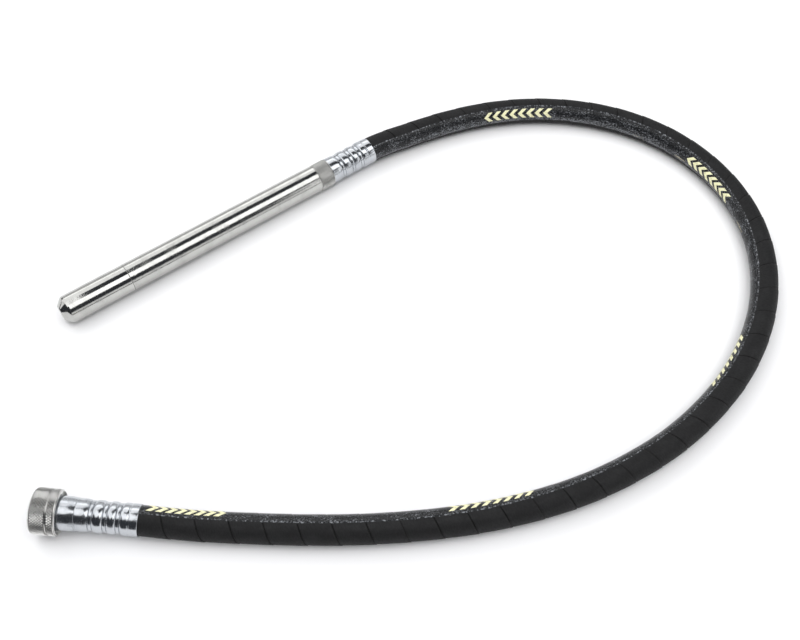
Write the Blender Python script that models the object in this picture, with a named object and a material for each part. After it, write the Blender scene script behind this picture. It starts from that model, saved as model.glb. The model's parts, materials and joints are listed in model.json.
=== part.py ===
"""Concrete vibrator: a flexible drive shaft with an eccentric vibrating head and a screw-on coupling.

The tool lies on the ground as it is left after work. Z is up and z = 0 is the ground. The hose makes one
wide loop. Its first end is the drive coupling, whose knurled nut screws onto a motor, and its other end is
the polished steel head. Lengths along the head are measured from the nose of its tip towards the hose, and
lengths along the coupling from the front of its nut towards the hose. Both are local X axes of an empty.
"""
import math

import bmesh
import bpy
from mathutils import Vector

MM = 0.001
FULL_TURN = 2.0 * math.pi

# Clearances
GAP = 0.3 * MM               # between pieces that seat on each other
ROTOR_CLEARANCE = 1.1 * MM   # between the whirling weight and the tube

# Facets round a turned piece
OUTER_SIDES = 20
RING_SIDES = 18
SMALL_SIDES = 14
O_RING_SIDES = 6

# Vibrating head
HEAD_RADIUS = 18.0 * MM
TIP_LENGTH = 90.0 * MM
TIP_CHAMFER = 8.5 * MM
TUBE_LENGTH = 275.0 * MM
COLLAR_LENGTH = 20.0 * MM
SPIGOT_LENGTH = 16.0 * MM
SPIGOT_WALL_STEP = 4.0 * MM  # how far a spigot is below the outside of the head
BORE_STEP = 0.7 * MM         # shoulder that each bearing seat leaves in the tube's bore

# Ball bearings (bore 12, outside 28, width 8)
SHAFT_RADIUS = 6.0 * MM
BEARING_WIDTH = 8.0 * MM
BALL_SHARE = 0.2975          # ball radius as a share of the height between shaft and seat
BALL_COUNT = 7
BALL_SIDES = 6
BALL_BANDS = 6
SHOULDER_HEIGHT = 0.6 * MM   # height of a ring's shoulders over its track
CAGE_HALF_WALL = 0.7 * MM
CAGE_HALF_WIDTH = 2.9 * MM

# Rotor and what locates it
WASHER_THICKNESS = 1.6 * MM
SPACER_WIDTH = 4.0 * MM
CIRCLIP_THICKNESS = 1.4 * MM
CIRCLIP_BITE = 0.7 * MM      # how deep a circlip sits in its groove
CIRCLIP_ARC = math.radians(320.0)
SEAL_WIDTH = 5.0 * MM
SEAL_LIP_HEIGHT = 2.0 * MM
SEAL_LIP_WIDTH = 1.6 * MM
SEAL_LIP_SLOPE = 0.8 * MM    # length of the slope from the lip to the seal's flange
ROTOR_OVERHANG = 5.0 * MM    # the rotor ends this far behind the seal
ROTOR_END_CLEARANCE = 0.9 * MM
ROTOR_SHOULDER = 1.7 * MM
ECCENTRIC_END_GAP = 5.0 * MM
ECCENTRIC_CHEEK = 4.0 * MM
ECCENTRIC_FLAT_HEIGHT = 1.5 * MM
DRIVE_SPIGOT_RADIUS = 3.0 * MM
DRIVE_SPIGOT_LENGTH = 16.0 * MM

# O-rings
O_RING_SECTION = 0.75 * MM
O_RING_GROOVE_WIDTH = 2.4 * MM
O_RING_SETBACK = 3.0 * MM

# Hose layers, from outside to inside
HOSE_RADIUS = 16.5 * MM
COVER_WALL = 1.9 * MM
BRAID_WALL = 1.2 * MM
LINING_WALL = 2.0 * MM
LINER_WALL = 2.0 * MM
LAYER_GAP = 0.35 * MM        # between one layer and the next
CORE_CLEARANCE = 2.594 * MM  # between the core and the liner's flats
HOSE_SIDES = 10
HOSE_BEVEL_RESOLUTION = 3    # gives HOSE_SIDES sides
HOSE_STEP = 72.0 * MM        # spacing of the rings along the hose
STRAIGHT_EXIT = 6.0 * MM     # the hose leaves each ferrule straight for this far

# Crimped ferrules, the same at both ends of the hose
FERRULE_STAND = 1.0 * MM     # how far the ferrule stands proud of the hose
FERRULE_LENGTH = 66.0 * MM
FERRULE_CLEARANCE = 0.45 * MM  # between the ferrule's bore and the braid
FERRULE_LIP = 2.4 * MM
GROOVE_SHARES = (0.2842, 0.5509, 0.7930)  # places of the grooves along the crimped length
GROOVE_DEPTH = 1.6 * MM
GROOVE_HALF_WIDTH = 4.2 * MM
RIM_LENGTH = 9.0 * MM
RIM_STEP = 0.4 * MM
RIM_STEP_WIDTH = 1.6 * MM
BARB_SETBACK = 5.0 * MM      # the barbed tail ends this far inside the ferrule's mouth
BARB_COUNT = 3
BARB_HEIGHT = 0.7 * MM

# Fittings crimped on the ends of the flexible core
FITTING_WALL = 1.1 * MM
FITTING_GRIP = 14.0 * MM
FITTING_FLOOR = 4.0 * MM
TAIL_CLEARANCE = 0.5 * MM    # between a fitting and the hose tail's bore

# Drive coupling
NUT_WALL = 4.6 * MM
NUT_LENGTH = 28.5 * MM
NUT_FRONT_CHAMFER = (3.0 * MM, 3.4 * MM)   # along the axis, across it
NUT_REAR_CHAMFER = (2.4 * MM, 4.0 * MM)
NUT_WEB = 4.6 * MM
NUT_GROOVE_SETBACK = 7.5 * MM
NUT_GROOVE_WIDTH = 1.2 * MM
NUT_GROOVE_DEPTH = 0.8 * MM
SLEEVE_STEP = 0.9 * MM       # how far the sleeve stands proud of the ferrule
SLEEVE_LENGTH = 17.5 * MM    # bare sleeve between the nut and the ferrule
SLEEVE_CLEARANCE = 0.6 * MM  # between the sleeve and the nut's rear bore
FLANGE_STEP = 1.6 * MM       # how far the flange stands proud of the sleeve
FLANGE_CLEARANCE = 0.4 * MM  # between the flange and the nut's bore
FLANGE_THICKNESS = 4.5 * MM
REGISTER_STEP = 4.5 * MM     # how far the register is below the flange's edge
REGISTER_HEIGHT = 4.0 * MM
BUSH_SEAT_WALL = 4.0 * MM    # wall between the bush's seat and the hose tail
BUSH_WALL = 3.3 * MM
BUSH_CLEARANCE = 0.4 * MM
TANG_STEP = 1.4 * MM         # how far the tang is below its crimped sleeve
TANG_FLATNESS = 0.5          # the flat blade's thickness as a share of the tang's diameter
TANG_SETBACK = 3.0 * MM      # the tang ends this far behind the nut's front
TANG_NECK = 1.5 * MM         # round neck between the blade and the tang's collar
TANG_COLLAR_STEP = 2.5 * MM
TANG_COLLAR_WIDTH = 3.0 * MM
COUPLING_TILT = math.radians(4.0)          # the nut is fatter than the hose, so the coupling slopes

# The hose's resting route over the ground, from the coupling's mouth to the head's ferrule
ROUTE = [
    (-0.0245, -0.2655), (0.0365, -0.2660), (0.0970, -0.2645), (0.1575, -0.2615), (0.2170, -0.2560),
    (0.2765, -0.2470), (0.3345, -0.2345), (0.3910, -0.2170), (0.4460, -0.1940), (0.4980, -0.1645),
    (0.5470, -0.1285), (0.5905, -0.0855), (0.6275, -0.0370), (0.6560, 0.0175), (0.6740, 0.0755),
    (0.6795, 0.1350), (0.6715, 0.1940), (0.6495, 0.2485), (0.6145, 0.2960), (0.5685, 0.3335),
    (0.5140, 0.3585), (0.4540, 0.3705), (0.3920, 0.3700), (0.3315, 0.3580), (0.2745, 0.3365),
    (0.2210, 0.3085), (0.1710, 0.2765),
]
HEAD_HEADING = math.radians(40.0)          # direction of the head's axis, from its nose to the hose
HEAD_EASE = 90.0 * MM                      # the hose comes down from the head within this length

# Radii of the hose's layers. A flat of a many-sided tube is nearer the axis than its corners.
FLAT_FACTOR = math.cos(math.pi / HOSE_SIDES)
BRAID_RADIUS = HOSE_RADIUS - COVER_WALL / FLAT_FACTOR - LAYER_GAP
LINING_RADIUS = BRAID_RADIUS - BRAID_WALL / FLAT_FACTOR - LAYER_GAP
LINER_RADIUS = LINING_RADIUS - LINING_WALL / FLAT_FACTOR - LAYER_GAP
CORE_RADIUS = LINER_RADIUS * FLAT_FACTOR - LINER_WALL - CORE_CLEARANCE

# Radii of what is crimped on the hose and on its core
BARB_RADIUS = (LINING_RADIUS - LINING_WALL / FLAT_FACTOR) * FLAT_FACTOR - GAP
FERRULE_RADIUS = HOSE_RADIUS + FERRULE_STAND
FERRULE_BORE = BRAID_RADIUS + FERRULE_CLEARANCE
FITTING_BORE = CORE_RADIUS + GAP
FITTING_RADIUS = FITTING_BORE + FITTING_WALL
TAIL_BORE = FITTING_RADIUS + TAIL_CLEARANCE
ADAPTER_BORE = max(TAIL_BORE, SHAFT_RADIUS + ROTOR_END_CLEARANCE)

# Places along the head, worked out from the sizes above
SPIGOT_RADIUS = HEAD_RADIUS - SPIGOT_WALL_STEP
SEAT_RADIUS = SPIGOT_RADIUS + GAP
BORE_RADIUS = SEAT_RADIUS - BORE_STEP
TUBE_START = TIP_LENGTH + GAP
TUBE_END = TIP_LENGTH + TUBE_LENGTH
COLLAR_START = TUBE_END + GAP
COLLAR_END = COLLAR_START + COLLAR_LENGTH
HEAD_FERRULE_START = COLLAR_END + GAP
HEAD_MOUTH = HEAD_FERRULE_START + FERRULE_LENGTH
FRONT_BEARING = TIP_LENGTH + SPIGOT_LENGTH + WASHER_THICKNESS + 2.0 * GAP
FRONT_SEAT_END = FRONT_BEARING + BEARING_WIDTH + GAP
ADAPTER_SPIGOT_START = COLLAR_START - SPIGOT_LENGTH - GAP
SEAL_START = ADAPTER_SPIGOT_START - SEAL_WIDTH - GAP
CIRCLIP_START = SEAL_START - CIRCLIP_THICKNESS - 2.0 * GAP
REAR_BEARING_B = CIRCLIP_START - BEARING_WIDTH - GAP
SPACER_START = REAR_BEARING_B - SPACER_WIDTH - GAP
REAR_BEARING_A = SPACER_START - BEARING_WIDTH - GAP
REAR_SEAT_START = REAR_BEARING_A - GAP
ROTOR_END = SEAL_START + SEAL_WIDTH + ROTOR_OVERHANG
HEAD_FITTING_COLLAR = ROTOR_END + GAP
HEAD_CORE_END = HEAD_FITTING_COLLAR + FITTING_FLOOR + GAP

# Radii of the bearings' balls and rings
BALL_RADIUS = (SPIGOT_RADIUS - SHAFT_RADIUS) * BALL_SHARE
PITCH_RADIUS = (SHAFT_RADIUS + SPIGOT_RADIUS) / 2.0
INNER_TRACK_RADIUS = PITCH_RADIUS - BALL_RADIUS - GAP
OUTER_TRACK_RADIUS = PITCH_RADIUS + BALL_RADIUS + GAP

# Radii of the coupling, from its ferrule outwards and from its tang outwards
SLEEVE_RADIUS = FERRULE_RADIUS + SLEEVE_STEP
FLANGE_RADIUS = SLEEVE_RADIUS + FLANGE_STEP
REGISTER_RADIUS = FLANGE_RADIUS - REGISTER_STEP
NUT_BORE_RADIUS = FLANGE_RADIUS + FLANGE_CLEARANCE
NUT_RADIUS = NUT_BORE_RADIUS + NUT_WALL
NUT_REAR_BORE = SLEEVE_RADIUS + SLEEVE_CLEARANCE
TANG_RADIUS = FITTING_RADIUS - TANG_STEP
TANG_THICKNESS = 2.0 * TANG_RADIUS * TANG_FLATNESS
TANG_COLLAR_RADIUS = TANG_RADIUS + TANG_COLLAR_STEP
BUSH_BORE_RADIUS = TANG_RADIUS + BUSH_CLEARANCE
SOCKET_BORE_RADIUS = BUSH_BORE_RADIUS + BUSH_WALL + GAP

# Places along the coupling
NUT_WEB_START = NUT_LENGTH - NUT_WEB
NUT_REAR_EDGE = NUT_LENGTH - NUT_REAR_CHAMFER[0]
THRUST_WASHER_START = NUT_WEB_START - WASHER_THICKNESS - GAP
FLANGE_BACK = THRUST_WASHER_START - GAP
FLANGE_FRONT = FLANGE_BACK - FLANGE_THICKNESS
REGISTER_FACE = FLANGE_FRONT - REGISTER_HEIGHT
SLEEVE_END = NUT_LENGTH + SLEEVE_LENGTH
COUPLING_FERRULE_START = SLEEVE_END + GAP
COUPLING_MOUTH = COUPLING_FERRULE_START + FERRULE_LENGTH
BUSH_START = REGISTER_FACE + TANG_COLLAR_WIDTH + 2.0 * GAP
TANG_COLLAR_START = BUSH_START - TANG_COLLAR_WIDTH - GAP
TANG_BLADE_END = TANG_COLLAR_START - TANG_NECK
BUSH_SEAT_END = SLEEVE_END - BUSH_SEAT_WALL
BUSH_END = BUSH_SEAT_END - GAP
TANG_SLEEVE_START = BUSH_END + 2.0 * GAP
COUPLING_CORE_END = TANG_SLEEVE_START + FITTING_FLOOR + GAP

# Resting heights of the axes
NUT_EDGE_HEIGHT = NUT_RADIUS * math.cos(COUPLING_TILT)
COUPLING_MOUTH_HEIGHT = NUT_EDGE_HEIGHT - (COUPLING_MOUTH - NUT_REAR_EDGE) * math.sin(COUPLING_TILT)
COUPLING_DROP = COUPLING_MOUTH_HEIGHT - HOSE_RADIUS
HEAD_HEIGHT = max(HEAD_RADIUS, FERRULE_RADIUS)
HEAD_DROP = HEAD_HEIGHT - HOSE_RADIUS

COUPLING_DIRECTION = Vector((math.cos(COUPLING_TILT), 0.0, -math.sin(COUPLING_TILT)))
HEAD_DIRECTION = Vector((math.cos(HEAD_HEADING), math.sin(HEAD_HEADING), 0.0))


def clear_scene():
    """Remove the objects that a new Blender file starts with."""
    for thing in list(bpy.data.objects):
        bpy.data.objects.remove(thing, do_unlink=True)


def make_material(name, colour, roughness, metallic):
    """Return a Principled material of one colour."""
    material = bpy.data.materials.new(name)
    material.use_nodes = True
    shader = material.node_tree.nodes["Principled BSDF"]
    shader.inputs["Base Color"].default_value = (*colour, 1.0)
    shader.inputs["Roughness"].default_value = roughness
    shader.inputs["Metallic"].default_value = metallic
    return material


def make_materials():
    """Return the finishes of the tool by name."""
    return {
        "polished_steel": make_material("polished_steel", (0.62, 0.62, 0.61), 0.18, 1.0),
        "zinc_plate": make_material("zinc_plate", (0.66, 0.68, 0.71), 0.25, 1.0),
        "bearing_steel": make_material("bearing_steel", (0.50, 0.50, 0.52), 0.20, 1.0),
        "turned_steel": make_material("turned_steel", (0.42, 0.42, 0.43), 0.35, 1.0),
        "spring_steel": make_material("spring_steel", (0.20, 0.20, 0.22), 0.35, 1.0),
        "bronze": make_material("bronze", (0.60, 0.42, 0.20), 0.35, 1.0),
        "rubber": make_material("rubber", (0.015, 0.015, 0.016), 0.60, 0.0),
        "seal_rubber": make_material("seal_rubber", (0.03, 0.03, 0.03), 0.55, 0.0),
        "braid": make_material("braid", (0.35, 0.32, 0.26), 0.70, 0.0),
    }


def add_empty(name, location, rotation):
    """Add an empty whose local X is the axis of the pieces under it."""
    empty = bpy.data.objects.new(name, None)
    empty.location = location
    empty.rotation_euler = rotation
    bpy.context.scene.collection.objects.link(empty)
    return empty


def add_piece(name, mesh, material, parent):
    """Add one mesh object in the parent's frame, smooth except at its sharp edges."""
    piece = bpy.data.objects.new(name, mesh)
    bpy.context.scene.collection.objects.link(piece)
    piece.parent = parent
    if material is not None:
        mesh.materials.append(material)
        mesh.shade_smooth()
        mesh.set_sharp_from_angle(angle=math.radians(35.0))
    return piece


def spun_shape(outline, sides, is_ring, arc=FULL_TURN):
    """Spin an outline of (station, radius) points about the X axis.

    A ring's outline closes on itself. A solid's outline starts and ends on the axis.
    """
    shape = bmesh.new()
    corners = [shape.verts.new((station, 0.0, radius)) for station, radius in outline]
    ends = corners[1:] + corners[:1] if is_ring else corners[1:]
    edges = [shape.edges.new(pair) for pair in zip(corners, ends)]
    bmesh.ops.spin(
        shape, geom=corners + edges, cent=(0.0, 0.0, 0.0), axis=(1.0, 0.0, 0.0), angle=arc, steps=sides
    )
    bmesh.ops.remove_doubles(shape, verts=shape.verts, dist=0.00001)
    if arc < FULL_TURN:
        bmesh.ops.holes_fill(shape, edges=shape.edges, sides=0)
    bmesh.ops.recalc_face_normals(shape, faces=shape.faces)
    return shape


def turned(name, outline, material, parent, sides=RING_SIDES, is_ring=True, arc=FULL_TURN):
    """Add a piece turned on a lathe: an outline spun about the parent's X axis."""
    shape = spun_shape(outline, sides, is_ring, arc)
    mesh = bpy.data.meshes.new(name)
    shape.to_mesh(mesh)
    shape.free()
    return add_piece(name, mesh, material, parent)


def box_ring(start, end, inner, outer):
    """Return the outline of a plain ring of rectangular section."""
    return [(start, inner), (start, outer), (end, outer), (end, inner)]


def round_section(station, radius):
    """Return the outline of an O-ring centred at a station and a radius."""
    outline = []
    for step in range(O_RING_SIDES):
        angle = FULL_TURN * (step + 0.5) / O_RING_SIDES
        outline.append((
            station + O_RING_SECTION * math.cos(angle),
            radius + O_RING_SECTION * math.sin(angle),
        ))
    return outline


def make_cutter(name, boxes, parent):
    """Add a hidden cutter made of axis-aligned boxes, each a (lowest, highest) pair of corners."""
    shape = bmesh.new()
    for lowest, highest in boxes:
        cube = bmesh.ops.create_cube(shape, size=1.0)["verts"]
        size = [high - low for low, high in zip(lowest, highest)]
        middle = [(high + low) / 2.0 for low, high in zip(lowest, highest)]
        bmesh.ops.scale(shape, vec=size, verts=cube)
        bmesh.ops.translate(shape, vec=middle, verts=cube)
    mesh = bpy.data.meshes.new(name)
    shape.to_mesh(mesh)
    shape.free()
    cutter = add_piece(name, mesh, None, parent)
    hide_guide(cutter)
    return cutter


def hide_guide(guide):
    """Mark an object as a construction guide that is no part of the tool."""
    guide.hide_render = True
    guide.display_type = "WIRE"


def combine(piece, guide, operation):
    """Cut a guide from a piece, or join it on."""
    modifier = piece.modifiers.new(operation.lower(), "BOOLEAN")
    modifier.operation = operation
    modifier.solver = "EXACT"
    modifier.object = guide


# Bearings

def ring_outline(start, bore_side, track, shoulder):
    """Return a bearing ring's outline: a flat side, and a shallow track for the balls on the other."""
    end = start + BEARING_WIDTH
    middle = start + BEARING_WIDTH / 2.0
    track_half = BALL_RADIUS * 0.6
    shoulder_half = BALL_RADIUS
    return [
        (start, bore_side), (start, shoulder), (middle - shoulder_half, shoulder),
        (middle - track_half, track), (middle + track_half, track),
        (middle + shoulder_half, shoulder), (end, shoulder), (end, bore_side),
    ]


def add_ball_cage(name, start, material, parent):
    """Add a cage with its balls, which circle the shaft together as one piece."""
    middle = start + BEARING_WIDTH / 2.0
    balls = bmesh.new()
    for index in range(BALL_COUNT):
        angle = FULL_TURN * index / BALL_COUNT
        ball = bmesh.ops.create_uvsphere(
            balls, u_segments=BALL_SIDES, v_segments=BALL_BANDS, radius=BALL_RADIUS
        )["verts"]
        place = (middle, PITCH_RADIUS * math.cos(angle), PITCH_RADIUS * math.sin(angle))
        bmesh.ops.translate(balls, vec=place, verts=ball)
    mesh = bpy.data.meshes.new(name + "_guide")
    balls.to_mesh(mesh)
    balls.free()
    guide = add_piece(name + "_guide", mesh, None, parent)
    hide_guide(guide)
    outline = box_ring(
        middle - CAGE_HALF_WIDTH, middle + CAGE_HALF_WIDTH,
        PITCH_RADIUS - CAGE_HALF_WALL, PITCH_RADIUS + CAGE_HALF_WALL,
    )
    cage = turned(name, outline, material, parent, sides=SMALL_SIDES)
    combine(cage, guide, "UNION")


def add_bearing(name, start, materials, head_axis, rotor_axis):
    """Add one ball bearing: an outer ring in the tube, an inner ring on the shaft, and the cage."""
    steel = materials["bearing_steel"]
    outer = ring_outline(start, SPIGOT_RADIUS, OUTER_TRACK_RADIUS, OUTER_TRACK_RADIUS - SHOULDER_HEIGHT)
    turned(name + "_outer_ring", outer, steel, head_axis)
    inner_bore = SHAFT_RADIUS + GAP
    inner = ring_outline(start, inner_bore, INNER_TRACK_RADIUS, INNER_TRACK_RADIUS + SHOULDER_HEIGHT)
    turned(name + "_inner_ring", inner, steel, rotor_axis, sides=SMALL_SIDES)
    cage_axis = add_empty(name + "_cage_axis", (0.0, 0.0, 0.0), (0.0, 0.0, 0.0))
    cage_axis.parent = head_axis
    add_ball_cage(name + "_cage", start, materials["bronze"], cage_axis)


# Vibrating head

def spigot_outline(start, end, groove_at):
    """Return the outer points of a spigot with an O-ring groove, from one end to the other."""
    floor = SPIGOT_RADIUS - 2.0 * O_RING_SECTION - 2.0 * GAP
    half = O_RING_GROOVE_WIDTH / 2.0
    return [
        (start, SPIGOT_RADIUS), (groove_at - half, SPIGOT_RADIUS), (groove_at - half, floor),
        (groove_at + half, floor), (groove_at + half, SPIGOT_RADIUS), (end, SPIGOT_RADIUS),
    ]


def o_ring_radius():
    """Return the centre-line radius of an O-ring in its groove, clear of the tube's bore."""
    return SPIGOT_RADIUS - O_RING_SECTION - GAP


def add_head_shell(materials, axis):
    """Add the tip, the tube and the O-ring between them."""
    steel = materials["polished_steel"]
    groove_at = TIP_LENGTH + O_RING_SETBACK + O_RING_GROOVE_WIDTH / 2.0
    tip = [(0.0, 0.0), (0.0, HEAD_RADIUS - TIP_CHAMFER), (TIP_CHAMFER, HEAD_RADIUS), (TIP_LENGTH, HEAD_RADIUS)]
    tip += spigot_outline(TIP_LENGTH, TIP_LENGTH + SPIGOT_LENGTH, groove_at)
    tip.append((TIP_LENGTH + SPIGOT_LENGTH, 0.0))
    turned("head_tip", tip, steel, axis, sides=OUTER_SIDES, is_ring=False)
    turned("tip_o_ring", round_section(groove_at, o_ring_radius()), materials["seal_rubber"], axis)

    clip_groove = SEAT_RADIUS + CIRCLIP_BITE + GAP
    clip_end = CIRCLIP_START + CIRCLIP_THICKNESS
    tube = [
        (TUBE_START, SEAT_RADIUS), (TUBE_START, HEAD_RADIUS), (TUBE_END, HEAD_RADIUS),
        (TUBE_END, SEAT_RADIUS), (clip_end + GAP, SEAT_RADIUS), (clip_end + GAP, clip_groove),
        (CIRCLIP_START - GAP, clip_groove), (CIRCLIP_START - GAP, SEAT_RADIUS),
        (REAR_SEAT_START, SEAT_RADIUS), (REAR_SEAT_START, BORE_RADIUS),
        (FRONT_SEAT_END, BORE_RADIUS), (FRONT_SEAT_END, SEAT_RADIUS),
    ]
    turned("head_tube", tube, steel, axis, sides=OUTER_SIDES)


def add_head_locators(materials, axis):
    """Add the rings that hold the bearings in place and the seal behind them."""
    spring = materials["spring_steel"]
    washer_start = TIP_LENGTH + SPIGOT_LENGTH + GAP
    inner = OUTER_TRACK_RADIUS
    washer = box_ring(washer_start, washer_start + WASHER_THICKNESS, inner, SPIGOT_RADIUS)
    turned("front_preload_washer", washer, spring, axis)
    spacer = box_ring(SPACER_START, SPACER_START + SPACER_WIDTH, inner, SPIGOT_RADIUS)
    turned("rear_outer_spacer", spacer, materials["turned_steel"], axis)
    clip = box_ring(CIRCLIP_START, CIRCLIP_START + CIRCLIP_THICKNESS, inner, SEAT_RADIUS + CIRCLIP_BITE)
    turned("bearing_circlip", clip, spring, axis, arc=CIRCLIP_ARC)

    lip = SHAFT_RADIUS + GAP
    end = SEAL_START + SEAL_WIDTH
    seal = [
        (SEAL_START, lip + SEAL_LIP_HEIGHT), (SEAL_START, SPIGOT_RADIUS), (end, SPIGOT_RADIUS),
        (end, lip), (end - SEAL_LIP_WIDTH, lip),
        (end - SEAL_LIP_WIDTH - SEAL_LIP_SLOPE, lip + SEAL_LIP_HEIGHT),
    ]
    turned("shaft_seal", seal, materials["seal_rubber"], axis)


def barbed_tail(start, end):
    """Return the outer points of a hose tail, with barbs that point towards its shoulder."""
    points = [(start, BARB_RADIUS - BARB_HEIGHT)]
    pitch = (end - start) / (BARB_COUNT + 1)
    for index in range(1, BARB_COUNT + 1):
        crest = start + index * pitch
        points += [(crest, BARB_RADIUS - BARB_HEIGHT), (crest, BARB_RADIUS)]
    points.append((end, BARB_RADIUS - BARB_HEIGHT))
    return points


def add_hose_adapter(materials, axis):
    """Add the piece that joins the tube to the hose, with its knurled collar and its O-ring."""
    groove_at = COLLAR_START - O_RING_SETBACK - O_RING_GROOVE_WIDTH / 2.0
    tail_end = HEAD_MOUTH - BARB_SETBACK
    outline = [(ADAPTER_SPIGOT_START, ADAPTER_BORE)]
    outline += spigot_outline(ADAPTER_SPIGOT_START, COLLAR_START, groove_at)
    outline += [(COLLAR_START, HEAD_RADIUS), (COLLAR_END, HEAD_RADIUS)]
    outline += barbed_tail(COLLAR_END, tail_end)
    outline.append((tail_end, ADAPTER_BORE))
    turned("hose_adapter", outline, materials["turned_steel"], axis, sides=OUTER_SIDES)
    turned("adapter_o_ring", round_section(groove_at, o_ring_radius()), materials["seal_rubber"], axis)


def add_rotor(materials, axis):
    """Add the eccentric rotor, the ring between its rear bearings and the core's end fitting."""
    weight_radius = BORE_RADIUS - ROTOR_CLEARANCE
    shoulder_radius = SHAFT_RADIUS + ROTOR_SHOULDER
    front_shoulder = FRONT_BEARING + BEARING_WIDTH + GAP
    rear_shoulder = REAR_BEARING_A - GAP
    weight_start = front_shoulder + ECCENTRIC_END_GAP
    weight_end = rear_shoulder - ECCENTRIC_END_GAP
    socket_radius = DRIVE_SPIGOT_RADIUS + GAP
    socket_floor = ROTOR_END - DRIVE_SPIGOT_LENGTH - GAP
    clip_bore = SHAFT_RADIUS - CIRCLIP_BITE
    clip_end = CIRCLIP_START + CIRCLIP_THICKNESS
    outline = [
        (FRONT_BEARING, 0.0), (FRONT_BEARING, SHAFT_RADIUS), (front_shoulder, SHAFT_RADIUS),
        (front_shoulder, shoulder_radius), (weight_start, shoulder_radius), (weight_start, weight_radius),
        (weight_end, weight_radius), (weight_end, shoulder_radius), (rear_shoulder, shoulder_radius),
        (rear_shoulder, SHAFT_RADIUS), (CIRCLIP_START - GAP, SHAFT_RADIUS),
        (CIRCLIP_START - GAP, clip_bore - GAP), (clip_end + GAP, clip_bore - GAP),
        (clip_end + GAP, SHAFT_RADIUS), (ROTOR_END, SHAFT_RADIUS), (ROTOR_END, socket_radius),
        (socket_floor, socket_radius), (socket_floor, 0.0),
    ]
    rotor = turned("eccentric_rotor", outline, materials["turned_steel"], axis, is_ring=False)
    lowest = (weight_start + ECCENTRIC_CHEEK, -HEAD_RADIUS, ECCENTRIC_FLAT_HEIGHT)
    highest = (weight_end - ECCENTRIC_CHEEK, HEAD_RADIUS, HEAD_RADIUS)
    combine(rotor, make_cutter("rotor_relief", [(lowest, highest)], axis), "DIFFERENCE")

    inner = SHAFT_RADIUS + GAP
    ring = box_ring(SPACER_START, SPACER_START + SPACER_WIDTH, inner, inner + ROTOR_SHOULDER)
    turned("rear_inner_spacer", ring, materials["turned_steel"], axis, sides=SMALL_SIDES)
    clip = box_ring(CIRCLIP_START, clip_end, clip_bore, shoulder_radius)
    turned("rotor_circlip", clip, materials["spring_steel"], axis, sides=SMALL_SIDES, arc=CIRCLIP_ARC)

    spigot_start = ROTOR_END - DRIVE_SPIGOT_LENGTH
    grip_end = HEAD_CORE_END + FITTING_GRIP
    fitting = [
        (spigot_start, 0.0), (spigot_start, DRIVE_SPIGOT_RADIUS), (HEAD_FITTING_COLLAR, DRIVE_SPIGOT_RADIUS),
        (HEAD_FITTING_COLLAR, FITTING_RADIUS), (grip_end, FITTING_RADIUS), (grip_end, FITTING_BORE),
        (HEAD_CORE_END - GAP, FITTING_BORE), (HEAD_CORE_END - GAP, 0.0),
    ]
    turned("core_head_fitting", fitting, materials["bearing_steel"], axis, sides=SMALL_SIDES, is_ring=False)


# Ferrules

def ferrule_outline(start):
    """Return a crimped ferrule's outline: a lip, three crimp grooves between beads, and a rim band."""
    end = start + FERRULE_LENGTH
    rim_start = end - RIM_LENGTH
    outer = [(start, FERRULE_RADIUS - RIM_STEP), (start + RIM_STEP, FERRULE_RADIUS)]
    for share in GROOVE_SHARES:
        middle = start + share * (FERRULE_LENGTH - RIM_LENGTH)
        outer += [
            (middle - GROOVE_HALF_WIDTH, FERRULE_RADIUS),
            (middle, FERRULE_RADIUS - GROOVE_DEPTH),
            (middle + GROOVE_HALF_WIDTH, FERRULE_RADIUS),
        ]
    outer += [
        (rim_start - RIM_STEP_WIDTH, FERRULE_RADIUS - RIM_STEP), (rim_start, FERRULE_RADIUS),
        (end - RIM_STEP, FERRULE_RADIUS), (end, FERRULE_RADIUS - RIM_STEP),
    ]
    neck = BARB_RADIUS + GAP
    inner = [(end, FERRULE_BORE), (start + FERRULE_LIP, FERRULE_BORE), (start + FERRULE_LIP, neck), (start, neck)]
    return outer + inner


# Drive coupling

def add_coupling_body(materials, axis):
    """Add the coupling's body, the bush in it and its ferrule."""
    steel = materials["zinc_plate"]
    tail_end = COUPLING_MOUTH - BARB_SETBACK
    outline = [
        (REGISTER_FACE, SOCKET_BORE_RADIUS), (REGISTER_FACE, REGISTER_RADIUS),
        (FLANGE_FRONT, REGISTER_RADIUS), (FLANGE_FRONT, FLANGE_RADIUS), (FLANGE_BACK, FLANGE_RADIUS),
        (FLANGE_BACK, SLEEVE_RADIUS), (SLEEVE_END, SLEEVE_RADIUS),
    ]
    outline += barbed_tail(SLEEVE_END, tail_end)
    outline += [(tail_end, TAIL_BORE), (BUSH_SEAT_END, TAIL_BORE), (BUSH_SEAT_END, SOCKET_BORE_RADIUS)]
    turned("coupling_body", outline, steel, axis, sides=OUTER_SIDES)

    outer = SOCKET_BORE_RADIUS - GAP
    bush = box_ring(BUSH_START, BUSH_END, BUSH_BORE_RADIUS, outer)
    turned("tang_bush", bush, materials["bronze"], axis, sides=SMALL_SIDES)
    turned("coupling_ferrule", ferrule_outline(COUPLING_FERRULE_START), steel, axis, sides=OUTER_SIDES)


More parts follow.
